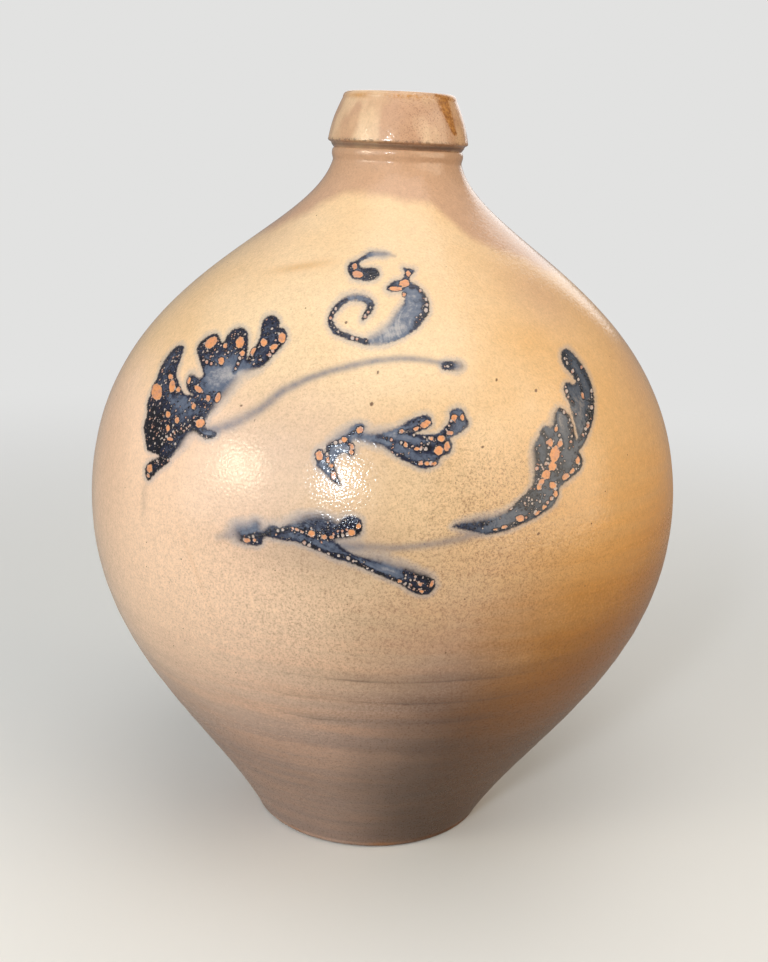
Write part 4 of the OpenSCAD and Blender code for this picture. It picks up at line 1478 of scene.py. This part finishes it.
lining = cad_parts["slip_lining"]
lining.data.materials.clear()
lining.data.materials.append(slip_glaze())


# Floor: a pale table top that carries the jug and its shadow, curved up all round into a plain backdrop.
# Away from the jug it has a pale glow that only the camera and reflections see, so that it adds no light.
FLOOR_RADII = (0, 600, 1500)
FLOOR_R = 2600
COVE_R = 700
COVE_STEPS = 24
BACKDROP_H = 2200
BACKDROP_COLUMNS = 96
GLOW_FROM = 200
GLOW_TO = 1200
GLOW = 0.76
MIRRORED_SHARE = 0.35
FLOOR_ROUGHNESS = 0.9
FLOOR_SHINE = 0.1
PALE = srgb(236, 236, 233)
PALE_TO_THE_JUG = srgb(150, 148, 143)
GLOW_COLOUR = (1.0, 1.0, 0.99, 1.0)

backdrop_section = np.vstack((
    [(r, 0) for r in FLOOR_RADII],
    arc(FLOOR_R, COVE_R, COVE_R, COVE_R, -90, 0, COVE_STEPS),
    [(FLOOR_R + COVE_R, BACKDROP_H)],
))
backdrop_points = [
    (r * math.cos(a) * MM, r * math.sin(a) * MM, z * MM)
    for r, z in backdrop_section
    for a in np.linspace(0, 2 * math.pi, BACKDROP_COLUMNS, endpoint=False)
]
backdrop_faces = [
    (low + column, low + right, low + BACKDROP_COLUMNS + right, low + BACKDROP_COLUMNS + column)
    for low in range(0, (len(backdrop_section) - 1) * BACKDROP_COLUMNS, BACKDROP_COLUMNS)
    for column, right in enumerate([*range(1, BACKDROP_COLUMNS), 0])
]
floor_mesh = bpy.data.meshes.new("floor")
floor_mesh.from_pydata(backdrop_points, [], backdrop_faces)
floor_mesh.shade_smooth()
floor = bpy.data.objects.new("floor", floor_mesh)
bpy.context.scene.collection.objects.link(floor)


def seen_plainly(tree):
    """1 for what the camera sees straight or through glass, less in a mirror, and 0 for light on its way."""
    direct = add_node(tree, "ShaderNodeLightPath").output("Is Camera Ray")
    mirrored = direct.output("Is Glossy Ray")
    through = direct.output("Is Transmission Ray")
    return direct.at_least(mirrored * MIRRORED_SHARE).at_least(through)


floor_finish = Finish("pale floor")
floor_tree = floor_finish.tree
seen = seen_plainly(floor_tree)
away = (floor_finish.x * floor_finish.x + floor_finish.y * floor_finish.y).math("SQRT")
shader = floor_finish.shader
shader.inputs["Roughness"].default_value = FLOOR_ROUGHNESS
shader.inputs["Specular IOR Level"].default_value = FLOOR_SHINE
floor_tree.links.new(floor_finish.mix(seen, PALE_TO_THE_JUG, PALE).socket, shader.inputs["Base Color"])
glow = add_node(floor_tree, "ShaderNodeEmission", {"Color": GLOW_COLOUR, "Strength": seen * GLOW})
blend = add_node(floor_tree, "ShaderNodeMixShader", {
    0: away.rise(GLOW_FROM, GLOW_TO), 1: Wire(floor_tree, shader.outputs[0]), 2: glow,
})
floor_output = next(node for node in floor_tree.nodes if node.type == "OUTPUT_MATERIAL")
floor_tree.links.new(blend.socket, floor_output.inputs["Surface"])
floor_mesh.materials.append(floor_finish.material)


# Lamps: soft boxes all round and above, as plain as a studio's, a small one whose glint shows on the belly's
# front, and at its left the fainter glint of a window with three panes.
BELLY_MIDDLE = (0.0, 0.0, 0.22)
WHITE = (1.0, 1.0, 1.0)
COOL = (0.93, 0.97, 1.0)
BLUISH = (0.84, 0.92, 1.0)
WARM = (1.0, 0.86, 0.66)
GOLDEN_LIGHT = (1.0, 0.88, 0.66)
ROOM_LIGHT = 0.25
ROOM_COLOUR = (0.95, 0.97, 1.0, 1.0)
# Place and size in metres, then watts and colour
LAMPS = [
    ("key", (-0.5, -1.25, 1.0), (1.2, 1.2), 2.8, WHITE),
    ("left", (-1.3, -1.0, 0.5), (1.5, 1.5), 10.0, COOL),
    *(
        ("window", (-1.33 + 0.1 * pane, -0.93 - 0.14 * pane, 0.66), (0.06, 0.42), 2.0, GOLDEN_LIGHT)
        for pane in (-1, 0, 1)
    ),
    ("front", (-0.37, -1.3, 0.66), (0.11, 0.22), 6.4, BLUISH),
    ("right", (1.35, -0.7, 0.7), (1.5, 1.5), 16.5, WARM),
    ("top", (0.1, -0.3, 1.9), (1.4, 1.4), 8.4, WHITE),
    ("behind", (0.3, 1.5, 1.0), (1.2, 1.2), 6.0, WHITE),
]
for name, place, size, watts, colour in LAMPS:
    lamp = bpy.data.lights.new(name, "AREA")
    lamp.shape = "RECTANGLE"
    lamp.size, lamp.size_y = size
    lamp.energy = watts
    lamp.color = colour
    box = bpy.data.objects.new(name, lamp)
    box.location = place
    box.rotation_euler = (Vector(BELLY_MIDDLE) - Vector(place)).to_track_quat("-Z", "Y").to_euler()
    bpy.context.scene.collection.objects.link(box)

world = bpy.data.worlds.new("room")
world.use_nodes = True
world_light = world.node_tree.nodes["Background"]
world_light.inputs["Color"].default_value = ROOM_COLOUR
world_strength = seen_plainly(world.node_tree) * (GLOW - ROOM_LIGHT) + ROOM_LIGHT
world.node_tree.links.new(world_strength.socket, world_light.inputs["Strength"])
bpy.context.scene.world = world
bpy.context.scene.view_settings.view_transform = "Standard"
